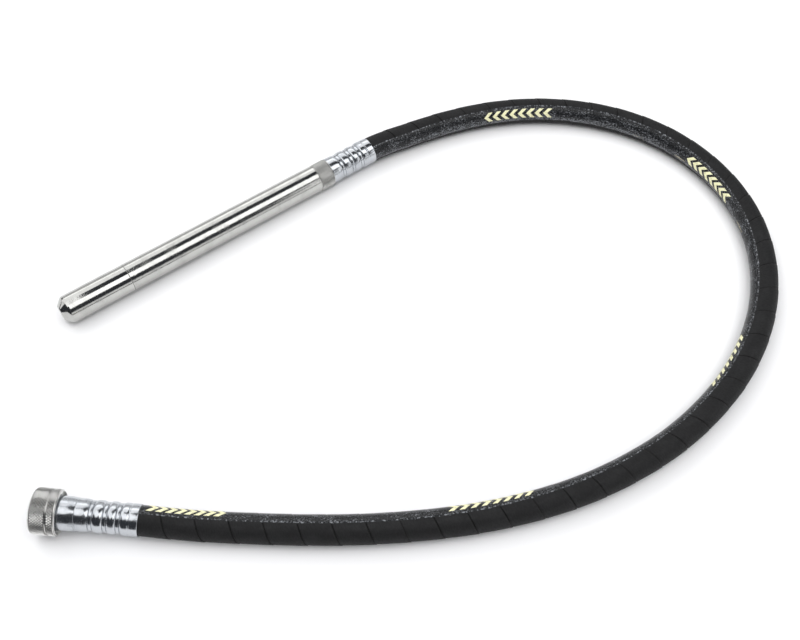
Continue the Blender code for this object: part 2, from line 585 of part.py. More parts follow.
def add_drive_tang(materials, axis):
    """Add the flat drive tang that the motor turns, crimped on the core's first end."""
    grip_end = COUPLING_CORE_END + FITTING_GRIP
    collar_end = TANG_COLLAR_START + TANG_COLLAR_WIDTH
    outline = [
        (TANG_SETBACK, 0.0), (TANG_SETBACK, TANG_RADIUS), (TANG_COLLAR_START, TANG_RADIUS),
        (TANG_COLLAR_START, TANG_COLLAR_RADIUS), (collar_end, TANG_COLLAR_RADIUS),
        (collar_end, TANG_RADIUS), (TANG_SLEEVE_START, TANG_RADIUS),
        (TANG_SLEEVE_START, FITTING_RADIUS), (grip_end, FITTING_RADIUS), (grip_end, FITTING_BORE),
        (COUPLING_CORE_END - GAP, FITTING_BORE), (COUPLING_CORE_END - GAP, 0.0),
    ]
    steel = materials["bearing_steel"]
    tang = turned("drive_tang", outline, steel, axis, sides=SMALL_SIDES, is_ring=False)
    half = TANG_THICKNESS / 2.0
    wide = TANG_RADIUS * 1.5
    start = TANG_SETBACK - TANG_RADIUS
    end = TANG_BLADE_END
    flats = [((start, half, -wide), (end, wide, wide)), ((start, -wide, -wide), (end, -half, wide))]
    combine(tang, make_cutter("tang_flats", flats, axis), "DIFFERENCE")


def add_nut(materials, axis):
    """Add the knurled coupling nut, open at its front, with a web that catches the body's flange."""
    front_axial, front_radial = NUT_FRONT_CHAMFER
    rear_axial, rear_radial = NUT_REAR_CHAMFER
    groove = NUT_REAR_EDGE - NUT_GROOVE_SETBACK
    half = NUT_GROOVE_WIDTH / 2.0
    floor = NUT_RADIUS - NUT_GROOVE_DEPTH
    outline = [
        (0.0, NUT_BORE_RADIUS), (0.0, NUT_RADIUS - front_radial), (front_axial, NUT_RADIUS),
        (groove - half, NUT_RADIUS), (groove - half, floor), (groove + half, floor),
        (groove + half, NUT_RADIUS), (NUT_LENGTH - rear_axial, NUT_RADIUS),
        (NUT_LENGTH, NUT_RADIUS - rear_radial), (NUT_LENGTH, NUT_REAR_BORE),
        (NUT_WEB_START, NUT_REAR_BORE), (NUT_WEB_START, NUT_BORE_RADIUS),
    ]
    turned("coupling_nut", outline, materials["zinc_plate"], axis, sides=OUTER_SIDES)


def add_thrust_washer(materials, axis):
    """Add the washer between the body's flange and the nut's web."""
    end = THRUST_WASHER_START + WASHER_THICKNESS
    washer = box_ring(THRUST_WASHER_START, end, SLEEVE_RADIUS + GAP, FLANGE_RADIUS)
    turned("nut_thrust_washer", washer, materials["turned_steel"], axis, sides=OUTER_SIDES)


# Hose

def resting_height(from_coupling, from_head):
    """Return the height of the hose's axis at two distances along it, one from each end."""
    height = HOSE_RADIUS
    coupling_ease = 2.0 * COUPLING_DROP / math.tan(COUPLING_TILT)
    if from_coupling < coupling_ease:
        height += COUPLING_DROP * (1.0 - from_coupling / coupling_ease) ** 2
    if from_head < HEAD_EASE:
        share = 1.0 - from_head / HEAD_EASE
        height += HEAD_DROP * share * share * (3.0 - 2.0 * share)
    return height


def route_tangents(corners):
    """Return a tangent for each route point, per span, with the fittings' directions at the two ends."""
    tangents = [(after - before) / 2.0 for before, after in zip(corners, corners[2:])]
    first = Vector((COUPLING_DIRECTION.x, COUPLING_DIRECTION.y)).normalized()
    last = -Vector((HEAD_DIRECTION.x, HEAD_DIRECTION.y))
    start = first * (corners[1] - corners[0]).length
    end = last * (corners[-1] - corners[-2]).length
    return [start, *tangents, end]


def fine_route(steps_per_span=12):
    """Return closely spaced ground points on one smooth curve through the route's points."""
    corners = [Vector(point) for point in ROUTE]
    tangents = route_tangents(corners)
    points = []
    for index in range(len(corners) - 1):
        for step in range(steps_per_span):
            share = step / steps_per_span
            square = share * share
            cube = square * share
            points.append(
                corners[index] * (2.0 * cube - 3.0 * square + 1.0)
                + tangents[index] * (cube - 2.0 * square + share)
                + corners[index + 1] * (3.0 * square - 2.0 * cube)
                + tangents[index + 1] * (cube - square)
            )
    points.append(corners[-1])
    return points


def resting_route():
    """Return evenly spaced points on the hose's resting axis, between its straight stretches at the ferrules."""
    fine = fine_route()
    travelled = [0.0]
    for before, after in zip(fine, fine[1:]):
        travelled.append(travelled[-1] + (after - before).length)
    total = travelled[-1]
    spans = round(total / HOSE_STEP)
    points = []
    for step in range(1, spans):
        distance = total * step / spans
        index = next(i for i in range(1, len(fine)) if travelled[i] >= distance)
        share = (distance - travelled[index - 1]) / (travelled[index] - travelled[index - 1])
        flat = fine[index - 1].lerp(fine[index], share)
        points.append(Vector((flat.x, flat.y, resting_height(distance, total - distance))))
    return points


def add_hose_layer(name, points, radius, wall, material):
    """Add one layer of the hose: a tube along the points, or a solid rod where wall is None."""
    curve = bpy.data.curves.new(name, "CURVE")
    curve.dimensions = "3D"
    curve.twist_mode = "Z_UP"
    spline = curve.splines.new("POLY")
    spline.points.add(len(points) - 1)
    for target, point in zip(spline.points, points):
        target.co = (*point, 1.0)
    curve.bevel_depth = radius
    curve.bevel_resolution = HOSE_BEVEL_RESOLUTION
    curve.use_fill_caps = wall is None
    curve.materials.append(material)
    layer = bpy.data.objects.new(name, curve)
    bpy.context.scene.collection.objects.link(layer)
    if wall is not None:
        shell = layer.modifiers.new("wall", "SOLIDIFY")
        shell.thickness = wall
        shell.offset = -1.0
        shell.use_even_offset = True


def add_hose(materials, coupling_origin, head_origin):
    """Add the hose's layers. Those under the cover run on into the ferrules, over the barbed tails."""

    def on_coupling(station):
        return coupling_origin + COUPLING_DIRECTION * station

    def on_head(station):
        return head_origin + HEAD_DIRECTION * station

    free = [on_coupling(COUPLING_MOUTH + STRAIGHT_EXIT), *resting_route(), on_head(HEAD_MOUTH + STRAIGHT_EXIT)]
    cover = [on_coupling(COUPLING_MOUTH + GAP), *free, on_head(HEAD_MOUTH + GAP)]
    add_hose_layer("hose_cover", cover, HOSE_RADIUS, COVER_WALL, materials["rubber"])

    inset = FERRULE_LIP + GAP
    crimped = [on_coupling(COUPLING_FERRULE_START + inset), *free, on_head(HEAD_FERRULE_START + inset)]
    add_hose_layer("hose_braid", crimped, BRAID_RADIUS, BRAID_WALL, materials["braid"])
    add_hose_layer("hose_lining", crimped, LINING_RADIUS, LINING_WALL, materials["seal_rubber"])

    beyond = GAP - BARB_SETBACK
    liner = [on_coupling(COUPLING_MOUTH + beyond), *free, on_head(HEAD_MOUTH + beyond)]
    add_hose_layer("guide_liner", liner, LINER_RADIUS, LINER_WALL, materials["spring_steel"])

    core = [on_coupling(COUPLING_CORE_END), *free, on_head(HEAD_CORE_END)]
    add_hose_layer("flexible_core", core, CORE_RADIUS, None, materials["spring_steel"])


def build():
    """Build the whole tool."""
    clear_scene()
    materials = make_materials()

    mouth = Vector((*ROUTE[0], COUPLING_MOUTH_HEIGHT))
    coupling_origin = mouth - COUPLING_DIRECTION * COUPLING_MOUTH
    coupling_axis = add_empty("coupling_axis", coupling_origin, (0.0, COUPLING_TILT, 0.0))
    add_coupling_body(materials, coupling_axis)
    add_thrust_washer(materials, coupling_axis)
    add_nut(materials, coupling_axis)
    add_drive_tang(materials, coupling_axis)

    head_mouth = Vector((*ROUTE[-1], HEAD_HEIGHT))
    head_origin = head_mouth - HEAD_DIRECTION * HEAD_MOUTH
    head_axis = add_empty("head_axis", head_origin, (0.0, 0.0, HEAD_HEADING))
    rotor_axis = add_empty("rotor_axis", (0.0, 0.0, 0.0), (0.0, 0.0, 0.0))
    rotor_axis.parent = head_axis
    add_head_shell(materials, head_axis)
    add_head_locators(materials, head_axis)
    add_hose_adapter(materials, head_axis)
    turned("head_ferrule", ferrule_outline(HEAD_FERRULE_START), materials["zinc_plate"], head_axis,
           sides=OUTER_SIDES)
    add_rotor(materials, rotor_axis)
    bearings = {
        "front_bearing": FRONT_BEARING,
        "rear_bearing_a": REAR_BEARING_A,
        "rear_bearing_b": REAR_BEARING_B,
    }
    for name, start in bearings.items():
        add_bearing(name, start, materials, head_axis, rotor_axis)

    add_hose(materials, coupling_origin, head_origin)


build()
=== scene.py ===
"""Looks of a concrete vibrator shaft: a bright steel head, a wrapped rubber hose and a knurled coupling.

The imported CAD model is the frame. The visible turned pieces are modelled again with fine outlines, the hose
is one wrapped tube along its resting route, and the sealed inner pieces keep their CAD shape. Lengths are in
metres. Stations run along a piece's axis from the nose of the head, or from the front of the coupling nut.
"""
from __future__ import annotations

import json
import logging
import math
from dataclasses import dataclass, field
from enum import Enum
from functools import partial
from typing import Callable, Sequence

import bpy
import numpy as np
from mathutils import Matrix, Vector

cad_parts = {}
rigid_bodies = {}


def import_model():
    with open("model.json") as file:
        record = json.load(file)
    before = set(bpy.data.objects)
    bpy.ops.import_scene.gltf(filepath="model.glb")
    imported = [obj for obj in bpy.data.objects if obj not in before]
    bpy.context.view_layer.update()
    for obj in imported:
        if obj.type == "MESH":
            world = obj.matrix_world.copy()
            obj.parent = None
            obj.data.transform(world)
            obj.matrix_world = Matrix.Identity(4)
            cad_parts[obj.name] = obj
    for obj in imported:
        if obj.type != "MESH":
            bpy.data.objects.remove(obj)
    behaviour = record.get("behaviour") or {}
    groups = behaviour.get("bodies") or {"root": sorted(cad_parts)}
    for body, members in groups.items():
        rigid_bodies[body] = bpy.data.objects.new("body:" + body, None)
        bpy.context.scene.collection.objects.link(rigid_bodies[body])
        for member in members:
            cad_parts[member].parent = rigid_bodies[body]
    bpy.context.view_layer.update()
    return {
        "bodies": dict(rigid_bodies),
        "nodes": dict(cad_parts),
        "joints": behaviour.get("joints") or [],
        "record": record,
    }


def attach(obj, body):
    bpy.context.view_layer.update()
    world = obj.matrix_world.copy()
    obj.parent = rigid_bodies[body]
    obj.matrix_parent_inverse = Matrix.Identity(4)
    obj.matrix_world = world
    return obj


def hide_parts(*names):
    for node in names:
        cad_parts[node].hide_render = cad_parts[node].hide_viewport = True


LOG = logging.getLogger("vibrator")
MM = 0.001
TURN = 2.0 * math.pi

TAIL_LENGTH = 61.0 * MM   # of a barbed tail inside its ferrule
TAIL_RADIUS = 9.3 * MM
TAIL_BORE = 6.9 * MM
SLEEVE_BORE = 14.7 * MM   # of a ferrule, over the braid

Outline = list[tuple[float, float]]
Colour = tuple[float, float, float, float]

# Kinds of node and their settings
MATH, RANGE, MIX, NOISE = "ShaderNodeMath", "ShaderNodeMapRange", "ShaderNodeMix", "ShaderNodeTexNoise"
MAPPING, BUMP, PLACE = "ShaderNodeMapping", "ShaderNodeBump", "ShaderNodeTexCoord"
ADD, SUBTRACT, MULTIPLY = {"operation": "ADD"}, {"operation": "SUBTRACT"}, {"operation": "MULTIPLY"}
MAXIMUM, ABSOLUTE = {"operation": "MAXIMUM"}, {"operation": "ABSOLUTE"}
SOFT = {"interpolation_type": "SMOOTHSTEP", "clamp": True}
COLOURS, NUMBERS = {"data_type": "RGBA"}, {"data_type": "FLOAT"}


class Slot(Enum):
    """The record's material slots."""

    POLISHED = "polished_steel"
    COLLAR = "knurled_steel"
    ZINC = "zinc_plated_steel"
    NUT = "knurled_nut_steel"
    TURNED = "turned_steel"
    BEARING = "bearing_steel"
    SPRING = "spring_steel"
    BRONZE = "bronze"
    HOSE = "hose_rubber"
    BRAID = "hose_braid"
    SEAL = "seal_rubber"


class Body(Enum):
    """The CAD bodies that new pieces ride on."""

    SHAFT = "shaft"
    NUT = "nut"
    CARRIER = "nut_carrier"
    TANG = "tang"


class Grain(Enum):
    """Which way the tool marks run on a metal surface."""

    ROUND = "round"   # rings left by grinding or turning
    LONG = "long"     # streaks left by drawing or wiping along the axis
    EVEN = "even"     # no direction, as plated or tumbled


# Small tools

def linear(hex_colour: str) -> Colour:
    """Turn an sRGB hex colour into linear values.

    Args:
        hex_colour: Six hex digits after a hash, such as "#1e1e1e".

    Returns:
        Red, green and blue from 0 to 1 with an alpha of 1.
    """
    parts = [int(hex_colour[i:i + 2], 16) / 255.0 for i in (1, 3, 5)]
    red, green, blue = (p / 12.92 if p <= 0.04045 else ((p + 0.055) / 1.055) ** 2.4 for p in parts)
    return (red, green, blue, 1.0)


def add_node(tree: bpy.types.NodeTree, kind: str, settings: dict | None = None,
             inputs: dict | None = None) -> bpy.types.Node:
    """Add a node with its settings, and set or link its inputs.

    Args:
        tree: The node tree.
        kind: The node's type name.
        settings: Attributes of the node by name.
        inputs: Values or output sockets, by the input's name or number.

    Returns:
        The new node.
    """
    node = tree.nodes.new(kind)
    for name, value in (settings or {}).items():
        setattr(node, name, value)
    for key, value in (inputs or {}).items():
        if isinstance(value, bpy.types.NodeSocket):
            tree.links.new(value, node.inputs[key])
        else:
            node.inputs[key].default_value = value
    return node


def select_only(piece: bpy.types.Object) -> None:
    """Make one object the active one and the only one selected."""
    bpy.ops.object.select_all(action="DESELECT")
    piece.select_set(True)
    bpy.context.view_layer.objects.active = piece


def settle(piece: bpy.types.Object, axis: Axis, smooth_angle: float) -> None:
    """Point the faces of a piece in edit mode outwards, shade it, and set it on its axis.

    Args:
        piece: The piece, modelled along X.
        axis: Where it belongs.
        smooth_angle: Edges under this many degrees are shaded smooth.
    """
    bpy.ops.mesh.select_all(action="SELECT")
    bpy.ops.mesh.normals_make_consistent(inside=False)
    bpy.ops.object.mode_set(mode="OBJECT")
    bpy.ops.object.shade_smooth_by_angle(angle=math.radians(smooth_angle))
    piece.matrix_world = axis.placement()
    select_only(piece)
    bpy.ops.object.transform_apply(location=True, rotation=True, scale=True)


def new_material(name: str) -> tuple[bpy.types.Material, bpy.types.NodeTree, bpy.types.Node]:
    """Start a material.

    Args:
        name: The finish's name.

    Returns:
        The material, its node tree and its Principled shader.
    """
    material = bpy.data.materials.new(name)
    material.use_nodes = True
    tree = material.node_tree
    return material, tree, tree.nodes["Principled BSDF"]


@dataclass(frozen=True)
class Axis:
    """A line that a turned piece is round about.

    Attributes:
        origin: The point at station 0.
        direction: The way that stations grow.
    """

    origin: Vector
    direction: Vector

    def placement(self) -> Matrix:
        """Return the matrix that carries a piece modelled along X onto this line."""
        along = self.direction.normalized()
        across = Vector((0.0, 0.0, 1.0)).cross(along).normalized()
        up = along.cross(across)
        turn = Matrix((along, across, up)).transposed().to_4x4()
        return Matrix.Translation(self.origin) @ turn

    def point(self, station: float) -> Vector:
        """Return the point of the line at a station."""
        return self.origin + self.direction.normalized() * station


# Finishes

@dataclass(frozen=True)
class MetalFinish:
    """A bare or plated metal with its tool marks.

    Attributes:
        name: What the metal is and how its surface was made.
        colour: What it reflects, as sRGB hex.
        stain: The colour of its duller patches.
        roughness: How much the smoothest parts blur a reflection.
        worn: How much the dullest patches blur it.
        grain: Which way the tool marks run.
        pitch: The distance from one tool mark to the next.
        depth: How deep the marks look.
        pit: The size of the fine pits and specks.
        pit_depth: How deep the specks look.
        groove_shade: The colour of the painted shade at the bottom of a knurl's grooves.
    """

    name: str
    colour: str
    stain: str
    roughness: float
    worn: float
    grain: Grain
    pitch: float
    depth: float
    pit: float = 0.9 * MM
    pit_depth: float = 0.0
    groove_shade: str = "#45433f"

    def build(self, axis: Axis | None = None, relief: tuple[float, float] | None = None) -> bpy.types.Material:
        """Make the material.

        Args:
            axis: The line that the piece is round about, which the marks follow.
            relief: The radii of a knurl's grooves and tops. Its grooves are darkened with painted shade.

        Returns:
            The material.
        """
        material, tree, shader = new_material(self.name)
        node = partial(add_node, tree)
        here = node(PLACE).outputs["Object"]
        if axis is not None:
            place = axis.placement()
            inputs = {"Vector": here, "Location": place.to_translation(), "Rotation": place.to_euler()}
            here = node(MAPPING, {"vector_type": "TEXTURE"}, inputs).outputs["Vector"]
        marks = 1.0 / self.pitch
        slow = marks / 14.0
        stretch = {
            Grain.ROUND: (marks, slow, slow),
            Grain.LONG: (slow, marks, marks),
            Grain.EVEN: (marks, marks, marks),
        }[self.grain]
        combed = node(MAPPING, {}, {"Vector": here, "Scale": stretch}).outputs["Vector"]
        lines = node(NOISE, {}, {"Vector": combed, "Scale": 1.0, "Detail": 3.0}).outputs["Fac"]
        patches = node(NOISE, {}, {"Vector": here, "Scale": 55.0, "Detail": 4.0, "Roughness": 0.6}).outputs["Fac"]
        dull = node(RANGE, SOFT, {0: patches, 1: 0.42, 2: 0.72}).outputs[0]
        marked = node(MATH, MULTIPLY, {0: lines, 1: 0.35}).outputs[0]
        patched = node(MATH, MULTIPLY, {0: dull, 1: 0.65}).outputs[0]
        dulled = node(MATH, ADD, {0: patched, 1: marked}).outputs[0]
        rough = node(RANGE, SOFT, {0: dulled, 1: 0.1, 2: 0.9, 3: self.roughness, 4: self.worn}).outputs[0]
        tint = {"Factor": dulled, 6: linear(self.colour), 7: linear(self.stain)}
        colour = node(MIX, COLOURS, tint).outputs[2]
        # Painted shade: the bottoms of a knurl's grooves are darkened to a grey.
        if relief is not None:
            flat = node("ShaderNodeVectorMath", MULTIPLY, {0: here, 1: (0.0, 1.0, 1.0)}).outputs["Vector"]
            reach = node("ShaderNodeVectorMath", {"operation": "LENGTH"}, {0: flat}).outputs["Value"]
            groove_shade = node(RANGE, SOFT, {0: reach, 1: relief[0], 2: relief[1], 3: 0.8, 4: 0.0}).outputs[0]
            inner = node(RANGE, SOFT, {0: reach, 1: relief[0] - 0.5 * MM, 2: relief[0] - 0.2 * MM}).outputs[0]
            factor = node(MATH, MULTIPLY, {0: groove_shade, 1: inner}).outputs[0]
            colour = node(MIX, COLOURS, {"Factor": factor, 6: colour, 7: linear(self.groove_shade)}).outputs[2]
        height = node(MATH, MULTIPLY, {0: lines, 1: self.depth}).outputs[0]
        if self.pit_depth > 0.0:
            specks = node(NOISE, {}, {"Vector": here, "Scale": 1.0 / self.pit, "Detail": 2.0}).outputs["Fac"]
            clear = node(RANGE, SOFT, {0: specks, 1: 0.35, 2: 0.65}).outputs[0]
            bumps = node(MATH, MULTIPLY, {0: clear, 1: self.pit_depth}).outputs[0]
            height = node(MATH, ADD, {0: height, 1: bumps}).outputs[0]
        bump = node(BUMP, {}, {"Height": height, "Distance": 1.0, "Strength": 1.0}).outputs["Normal"]
        shader.inputs["Metallic"].default_value = 1.0
        for name, value in (("Base Color", colour), ("Roughness", rough), ("Normal", bump)):
            tree.links.new(value, shader.inputs[name])
        return material


@dataclass(frozen=True)
class SoftFinish:
    """A plain rubber or textile, without shine.

    Attributes:
        name: What it is and how it was made.
        colour: Its colour, as sRGB hex.
        pale: The colour of its paler specks.
        roughness: How matt it is.
        grain: The size of its grain or weave.
        depth: How deep the grain looks.
        woven: Whether the grain is a weave.
    """

    name: str
    colour: str
    pale: str
    roughness: float
    grain: float
    depth: float
    woven: bool = False

    def build(self) -> bpy.types.Material:
        """Make the material."""
        material, tree, shader = new_material(self.name)
        node = partial(add_node, tree)
        here = node(PLACE).outputs["Object"]
        if self.woven:
            inputs = {"Vector": here, "Scale": 0.32 / self.grain, "Distortion": 2.0}
            grain = node("ShaderNodeTexWave", {"bands_direction": "DIAGONAL"}, inputs).outputs["Fac"]
        else:
            grain = node(NOISE, {}, {"Vector": here, "Scale": 1.0 / self.grain, "Detail": 4.0}).outputs["Fac"]
        specked = node(RANGE, SOFT, {0: grain, 1: 0.4, 2: 0.8}).outputs[0]
        tint = {"Factor": specked, 6: linear(self.colour), 7: linear(self.pale)}
        colour = node(MIX, COLOURS, tint).outputs[2]
        height = node(MATH, MULTIPLY, {0: grain, 1: self.depth}).outputs[0]
        bump = node(BUMP, {}, {"Height": height, "Distance": 1.0, "Strength": 1.0}).outputs["Normal"]
        shader.inputs["Roughness"].default_value = self.roughness
        tree.links.new(colour, shader.inputs["Base Color"])
        tree.links.new(bump, shader.inputs["Normal"])
        return material


# Hardened steel, centreless ground and polished: mirror bright, with faint rings and handling marks.
POLISHED_STEEL = MetalFinish("polished_ground_steel", "#c4c4c1", "#b2b2af", 0.08, 0.17, Grain.ROUND,
                             1.1 * MM, 0.0022 * MM, 1.5 * MM, 0.006 * MM)
# Drawn and ground tube, polished less finely than the nose: its reflections have a speckled edge.
TUBE_STEEL = MetalFinish("ground_drawn_steel_tube", "#c2c2bf", "#aeaeab", 0.11, 0.22, Grain.ROUND,
                         1.3 * MM, 0.004 * MM, 1.7 * MM, 0.02 * MM)
# The same bar with a satin surface between the teeth of a fine knurl.
COLLAR_STEEL = MetalFinish("satin_knurled_steel", "#dadad7", "#bcbcb9", 0.30, 0.42, Grain.EVEN, 0.8 * MM, 0.01 * MM)
# Bright zinc plate over swaged tube: a faint blue cast and a fine orange peel.
ZINC_PLATE = MetalFinish("bright_zinc_plate", "#c6c9cd", "#aeb2b7", 0.17, 0.30, Grain.EVEN,
                         2.2 * MM, 0.012 * MM, 1.5 * MM, 0.012 * MM)
# Zinc plate dulled to satin over a coarse knurl: pale tops with painted grey shade between them.
NUT_STEEL = MetalFinish("satin_zinc_plated_knurl", "#ececea", "#d2d1ce", 0.26, 0.38, Grain.EVEN,
                        0.9 * MM, 0.012 * MM)
# Plain steel off the lathe, with a film of oil: grey, with fine rings.
TURNED_STEEL = MetalFinish("turned_oiled_steel", "#9a9b9d", "#7d7d7f", 0.24, 0.38, Grain.ROUND, 0.35 * MM, 0.006 * MM)
# Hardened and ground: nearly a mirror.
BEARING_STEEL = MetalFinish("ground_bearing_steel", "#b2b4b8", "#9c9ea2", 0.12, 0.24, Grain.ROUND,
                            0.4 * MM, 0.002 * MM)
# Strip blued by its heat treatment: dark, with streaks along it.
SPRING_STEEL = MetalFinish("blued_spring_steel", "#5d6068", "#45474e", 0.28, 0.42, Grain.LONG, 0.6 * MM, 0.006 * MM)
# Pressed from powder and soaked in oil: warm brown and slightly grainy.
SINTERED_BRONZE = MetalFinish("oiled_sintered_bronze", "#b58a52", "#8a6538", 0.32, 0.48, Grain.EVEN,
                              0.5 * MM, 0.008 * MM)
# Moulded black rubber: matt, with hardly any grain.
NITRILE_RUBBER = SoftFinish("moulded_nitrile_rubber", "#1c1c1d", "#262628", 0.62, 0.7 * MM, 0.01 * MM)
# Undyed cord, woven at a slant: matt and pale brown.
TEXTILE_BRAID = SoftFinish("woven_textile_cord", "#978f7c", "#b0a890", 0.85, 1.6 * MM, 0.25 * MM, True)


@dataclass(frozen=True)
class HoseFinish:
    """Wrapped and cured black rubber, with a glossier printed strip along one side.

    Attributes:
        rubber: The matt rubber.
        bloom: The rubber where it is dusty.
        seam: The colour of the painted shade at the bottom of the wrapping's seam.
        film: The strip's dark film.
        sheen_grey: The pale grey of the strip's painted sheen, which stands in for its reflections.
        strip_half: Half of the strip's width.
        weave: The thread spacing that the wrapping cloth pressed into the rubber, drawn coarser to show.
        lead: The distance along the hose in which the wrapping goes round once.
    """

    rubber: str = "#151516"
    bloom: str = "#1f1f20"
    seam: str = "#060606"
    film: str = "#17181a"
    sheen_grey: str = "#8a8d92"
    strip_half: float = 11.0 * MM
    weave: float = 1.4 * MM
    lead: float = 36.0 * MM

    def build(self) -> bpy.types.Material:
        """Make the material."""
        material, tree, shader = new_material("wrapped_black_rubber")
        node = partial(add_node, tree)
        along = node("ShaderNodeUVMap", {"uv_map": "along"}).outputs["UV"]
        wrap = node("ShaderNodeUVMap", {"uv_map": "wrap"}).outputs["UV"]
        across = node("ShaderNodeSeparateXYZ", {}, {0: along}).outputs["Y"]
        off_seam = node("ShaderNodeSeparateXYZ", {}, {0: wrap}).outputs["Y"]
        threads = 1.0 / self.weave
        noise = {}
        for name, source, scale, detail in (
            ("edge", along, (160.0, 160.0, 1.0), 2.0), ("cloth", wrap, (threads * 0.35, threads, 1.0), 2.0),
            ("dust", along, (38.0, 90.0, 1.0), 4.0), ("mottle", along, (420.0, 640.0, 1.0), 5.0),
            ("drift", along, (60.0, 150.0, 1.0), 2.0), ("rim", along, (230.0, 90.0, 1.0), 3.0),
            ("film", along, (330.0, 420.0, 1.0), 3.0),
        ):
            spread = node(MAPPING, {}, {"Vector": source, "Scale": scale}).outputs["Vector"]
            inputs = {"Vector": spread, "Scale": 1.0, "Detail": detail, "Roughness": 0.62}
            noise[name] = node(NOISE, {}, inputs).outputs["Fac"]

        # The strip, with a wavy edge
        sway = node(MATH, SUBTRACT, {0: noise["edge"], 1: 0.5}).outputs[0]
        wobble = node(MATH, MULTIPLY, {0: sway, 1: 2.4 * MM}).outputs[0]
        away = node(MATH, ABSOLUTE, {0: across}).outputs[0]
        reach = node(MATH, ADD, {0: away, 1: wobble}).outputs[0]
        edges = {1: self.strip_half + 0.3 * MM, 2: self.strip_half - 0.3 * MM}
        strip = node(RANGE, SOFT, {0: reach, **edges}).outputs[0]

        # The seam's painted shade, dark on both sides of the lap
        after = node(RANGE, SOFT, {0: off_seam, 1: 0.3 * MM, 2: 1.0 * MM, 3: 1.0, 4: 0.0}).outputs[0]
        before = node(RANGE, SOFT, {0: off_seam, 1: self.lead - 1.0 * MM, 2: self.lead - 0.3 * MM}).outputs[0]
        seam = node(MATH, MAXIMUM, {0: after, 1: before}).outputs[0]

        # Painted sheen on the film: pale flecks that stand in for its reflections, more of them towards its lower side,
        # and a broken painted highlight line beside its edges
        low_side_sheen = node(RANGE, SOFT, {0: across, 1: 4.0 * MM, 2: -10.0 * MM, 4: 0.11}).outputs[0]
        sheen_mottle = node(MATH, ADD, {0: noise["mottle"], 1: low_side_sheen}).outputs[0]
        drift = node(MATH, SUBTRACT, {0: noise["drift"], 1: 0.5}).outputs[0]
        drifted = node(MATH, MULTIPLY, {0: drift, 1: 0.45}).outputs[0]
        sheen_speckle = node(MATH, ADD, {0: sheen_mottle, 1: drifted}).outputs[0]
        sheen_flecks = node(RANGE, SOFT, {0: sheen_speckle, 1: 0.52, 2: 0.74, 4: 0.75}).outputs[0]
        off_rim = node(MATH, SUBTRACT, {0: reach, 1: self.strip_half - 0.9 * MM}).outputs[0]
        rim_place = node(MATH, ABSOLUTE, {0: off_rim}).outputs[0]
        rim_band = node(RANGE, SOFT, {0: rim_place, 1: 1.0 * MM, 2: 0.3 * MM}).outputs[0]
        rim_break = node(RANGE, SOFT, {0: noise["rim"], 1: 0.5, 2: 0.62, 4: 0.9}).outputs[0]
        edge_highlight = node(MATH, MULTIPLY, {0: rim_band, 1: rim_break}).outputs[0]
        painted_sheen = node(MATH, MAXIMUM, {0: sheen_flecks, 1: edge_highlight}).outputs[0]

        # Colour
        dust = node(RANGE, SOFT, {0: noise["dust"], 1: 0.4, 2: 0.8}).outputs[0]
        in_seam = node(MATH, MULTIPLY, {0: seam, 1: 0.9}).outputs[0]
        open_face = node(MATH, SUBTRACT, {0: 1.0, 1: in_seam}).outputs[0]
        dusty = node(MATH, MULTIPLY, {0: dust, 1: open_face}).outputs[0]
        clean = node(MIX, COLOURS, {"Factor": dusty, 6: linear(self.rubber), 7: linear(self.bloom)}).outputs[2]
        # Painted shade darkens the rubber in the seam.
        rubber = node(MIX, COLOURS, {"Factor": seam, 6: clean, 7: linear(self.seam)}).outputs[2]
        # Painted sheen: pale flecks and edge highlights laid over the strip's dark film.
        film = node(MIX, COLOURS, {"Factor": painted_sheen, 6: linear(self.film), 7: linear(self.sheen_grey)}).outputs[2]
        colour = node(MIX, COLOURS, {"Factor": strip, 6: rubber, 7: film}).outputs[2]

        # Gloss and relief
        matt = node(RANGE, SOFT, {0: noise["cloth"], 1: 0.3, 2: 0.7, 3: 0.62, 4: 0.78}).outputs[0]
        glossy = node(RANGE, SOFT, {0: noise["mottle"], 1: 0.35, 2: 0.7, 3: 0.24, 4: 0.46}).outputs[0]
        rough = node(MIX, NUMBERS, {0: strip, 2: matt, 3: glossy}).outputs[0]
        matt_height = node(MATH, MULTIPLY, {0: noise["cloth"], 1: 0.05 * MM}).outputs[0]
        film_height = node(MATH, MULTIPLY, {0: noise["film"], 1: 0.22 * MM}).outputs[0]
        height = node(MIX, NUMBERS, {0: strip, 2: matt_height, 3: film_height}).outputs[0]
        bump = node(BUMP, {}, {"Height": height, "Distance": 1.0, "Strength": 1.0}).outputs["Normal"]
        shader.inputs["Specular IOR Level"].default_value = 0.3
        for name, value in (("Base Color", colour), ("Roughness", rough), ("Normal", bump)):
            tree.links.new(value, shader.inputs[name])
        return material


@dataclass(frozen=True)
class InkFinish:
    """Screen-printed ink, a little worn.

    Attributes:
        ink: The ink's colour.
        worn: The ink where it is rubbed.
        roughness: How matt the ink is.
    """

    ink: str = "#efecc2"
    worn: str = "#b9b48c"
    roughness: float = 0.5

    def build(self) -> bpy.types.Material:
        """Make the material."""
        material, tree, shader = new_material("pale_yellow_ink")
        here = add_node(tree, PLACE).outputs["Object"]
        rubbed = add_node(tree, NOISE, {}, {"Vector": here, "Scale": 420.0, "Detail": 4.0}).outputs["Fac"]
        worn = add_node(tree, RANGE, SOFT, {0: rubbed, 1: 0.5, 2: 0.75}).outputs[0]
        tint = {"Factor": worn, 6: linear(self.ink), 7: linear(self.worn)}
        shader.inputs["Roughness"].default_value = self.roughness
        tree.links.new(add_node(tree, MIX, COLOURS, tint).outputs[2], shader.inputs["Base Color"])
        return material


# Turned pieces

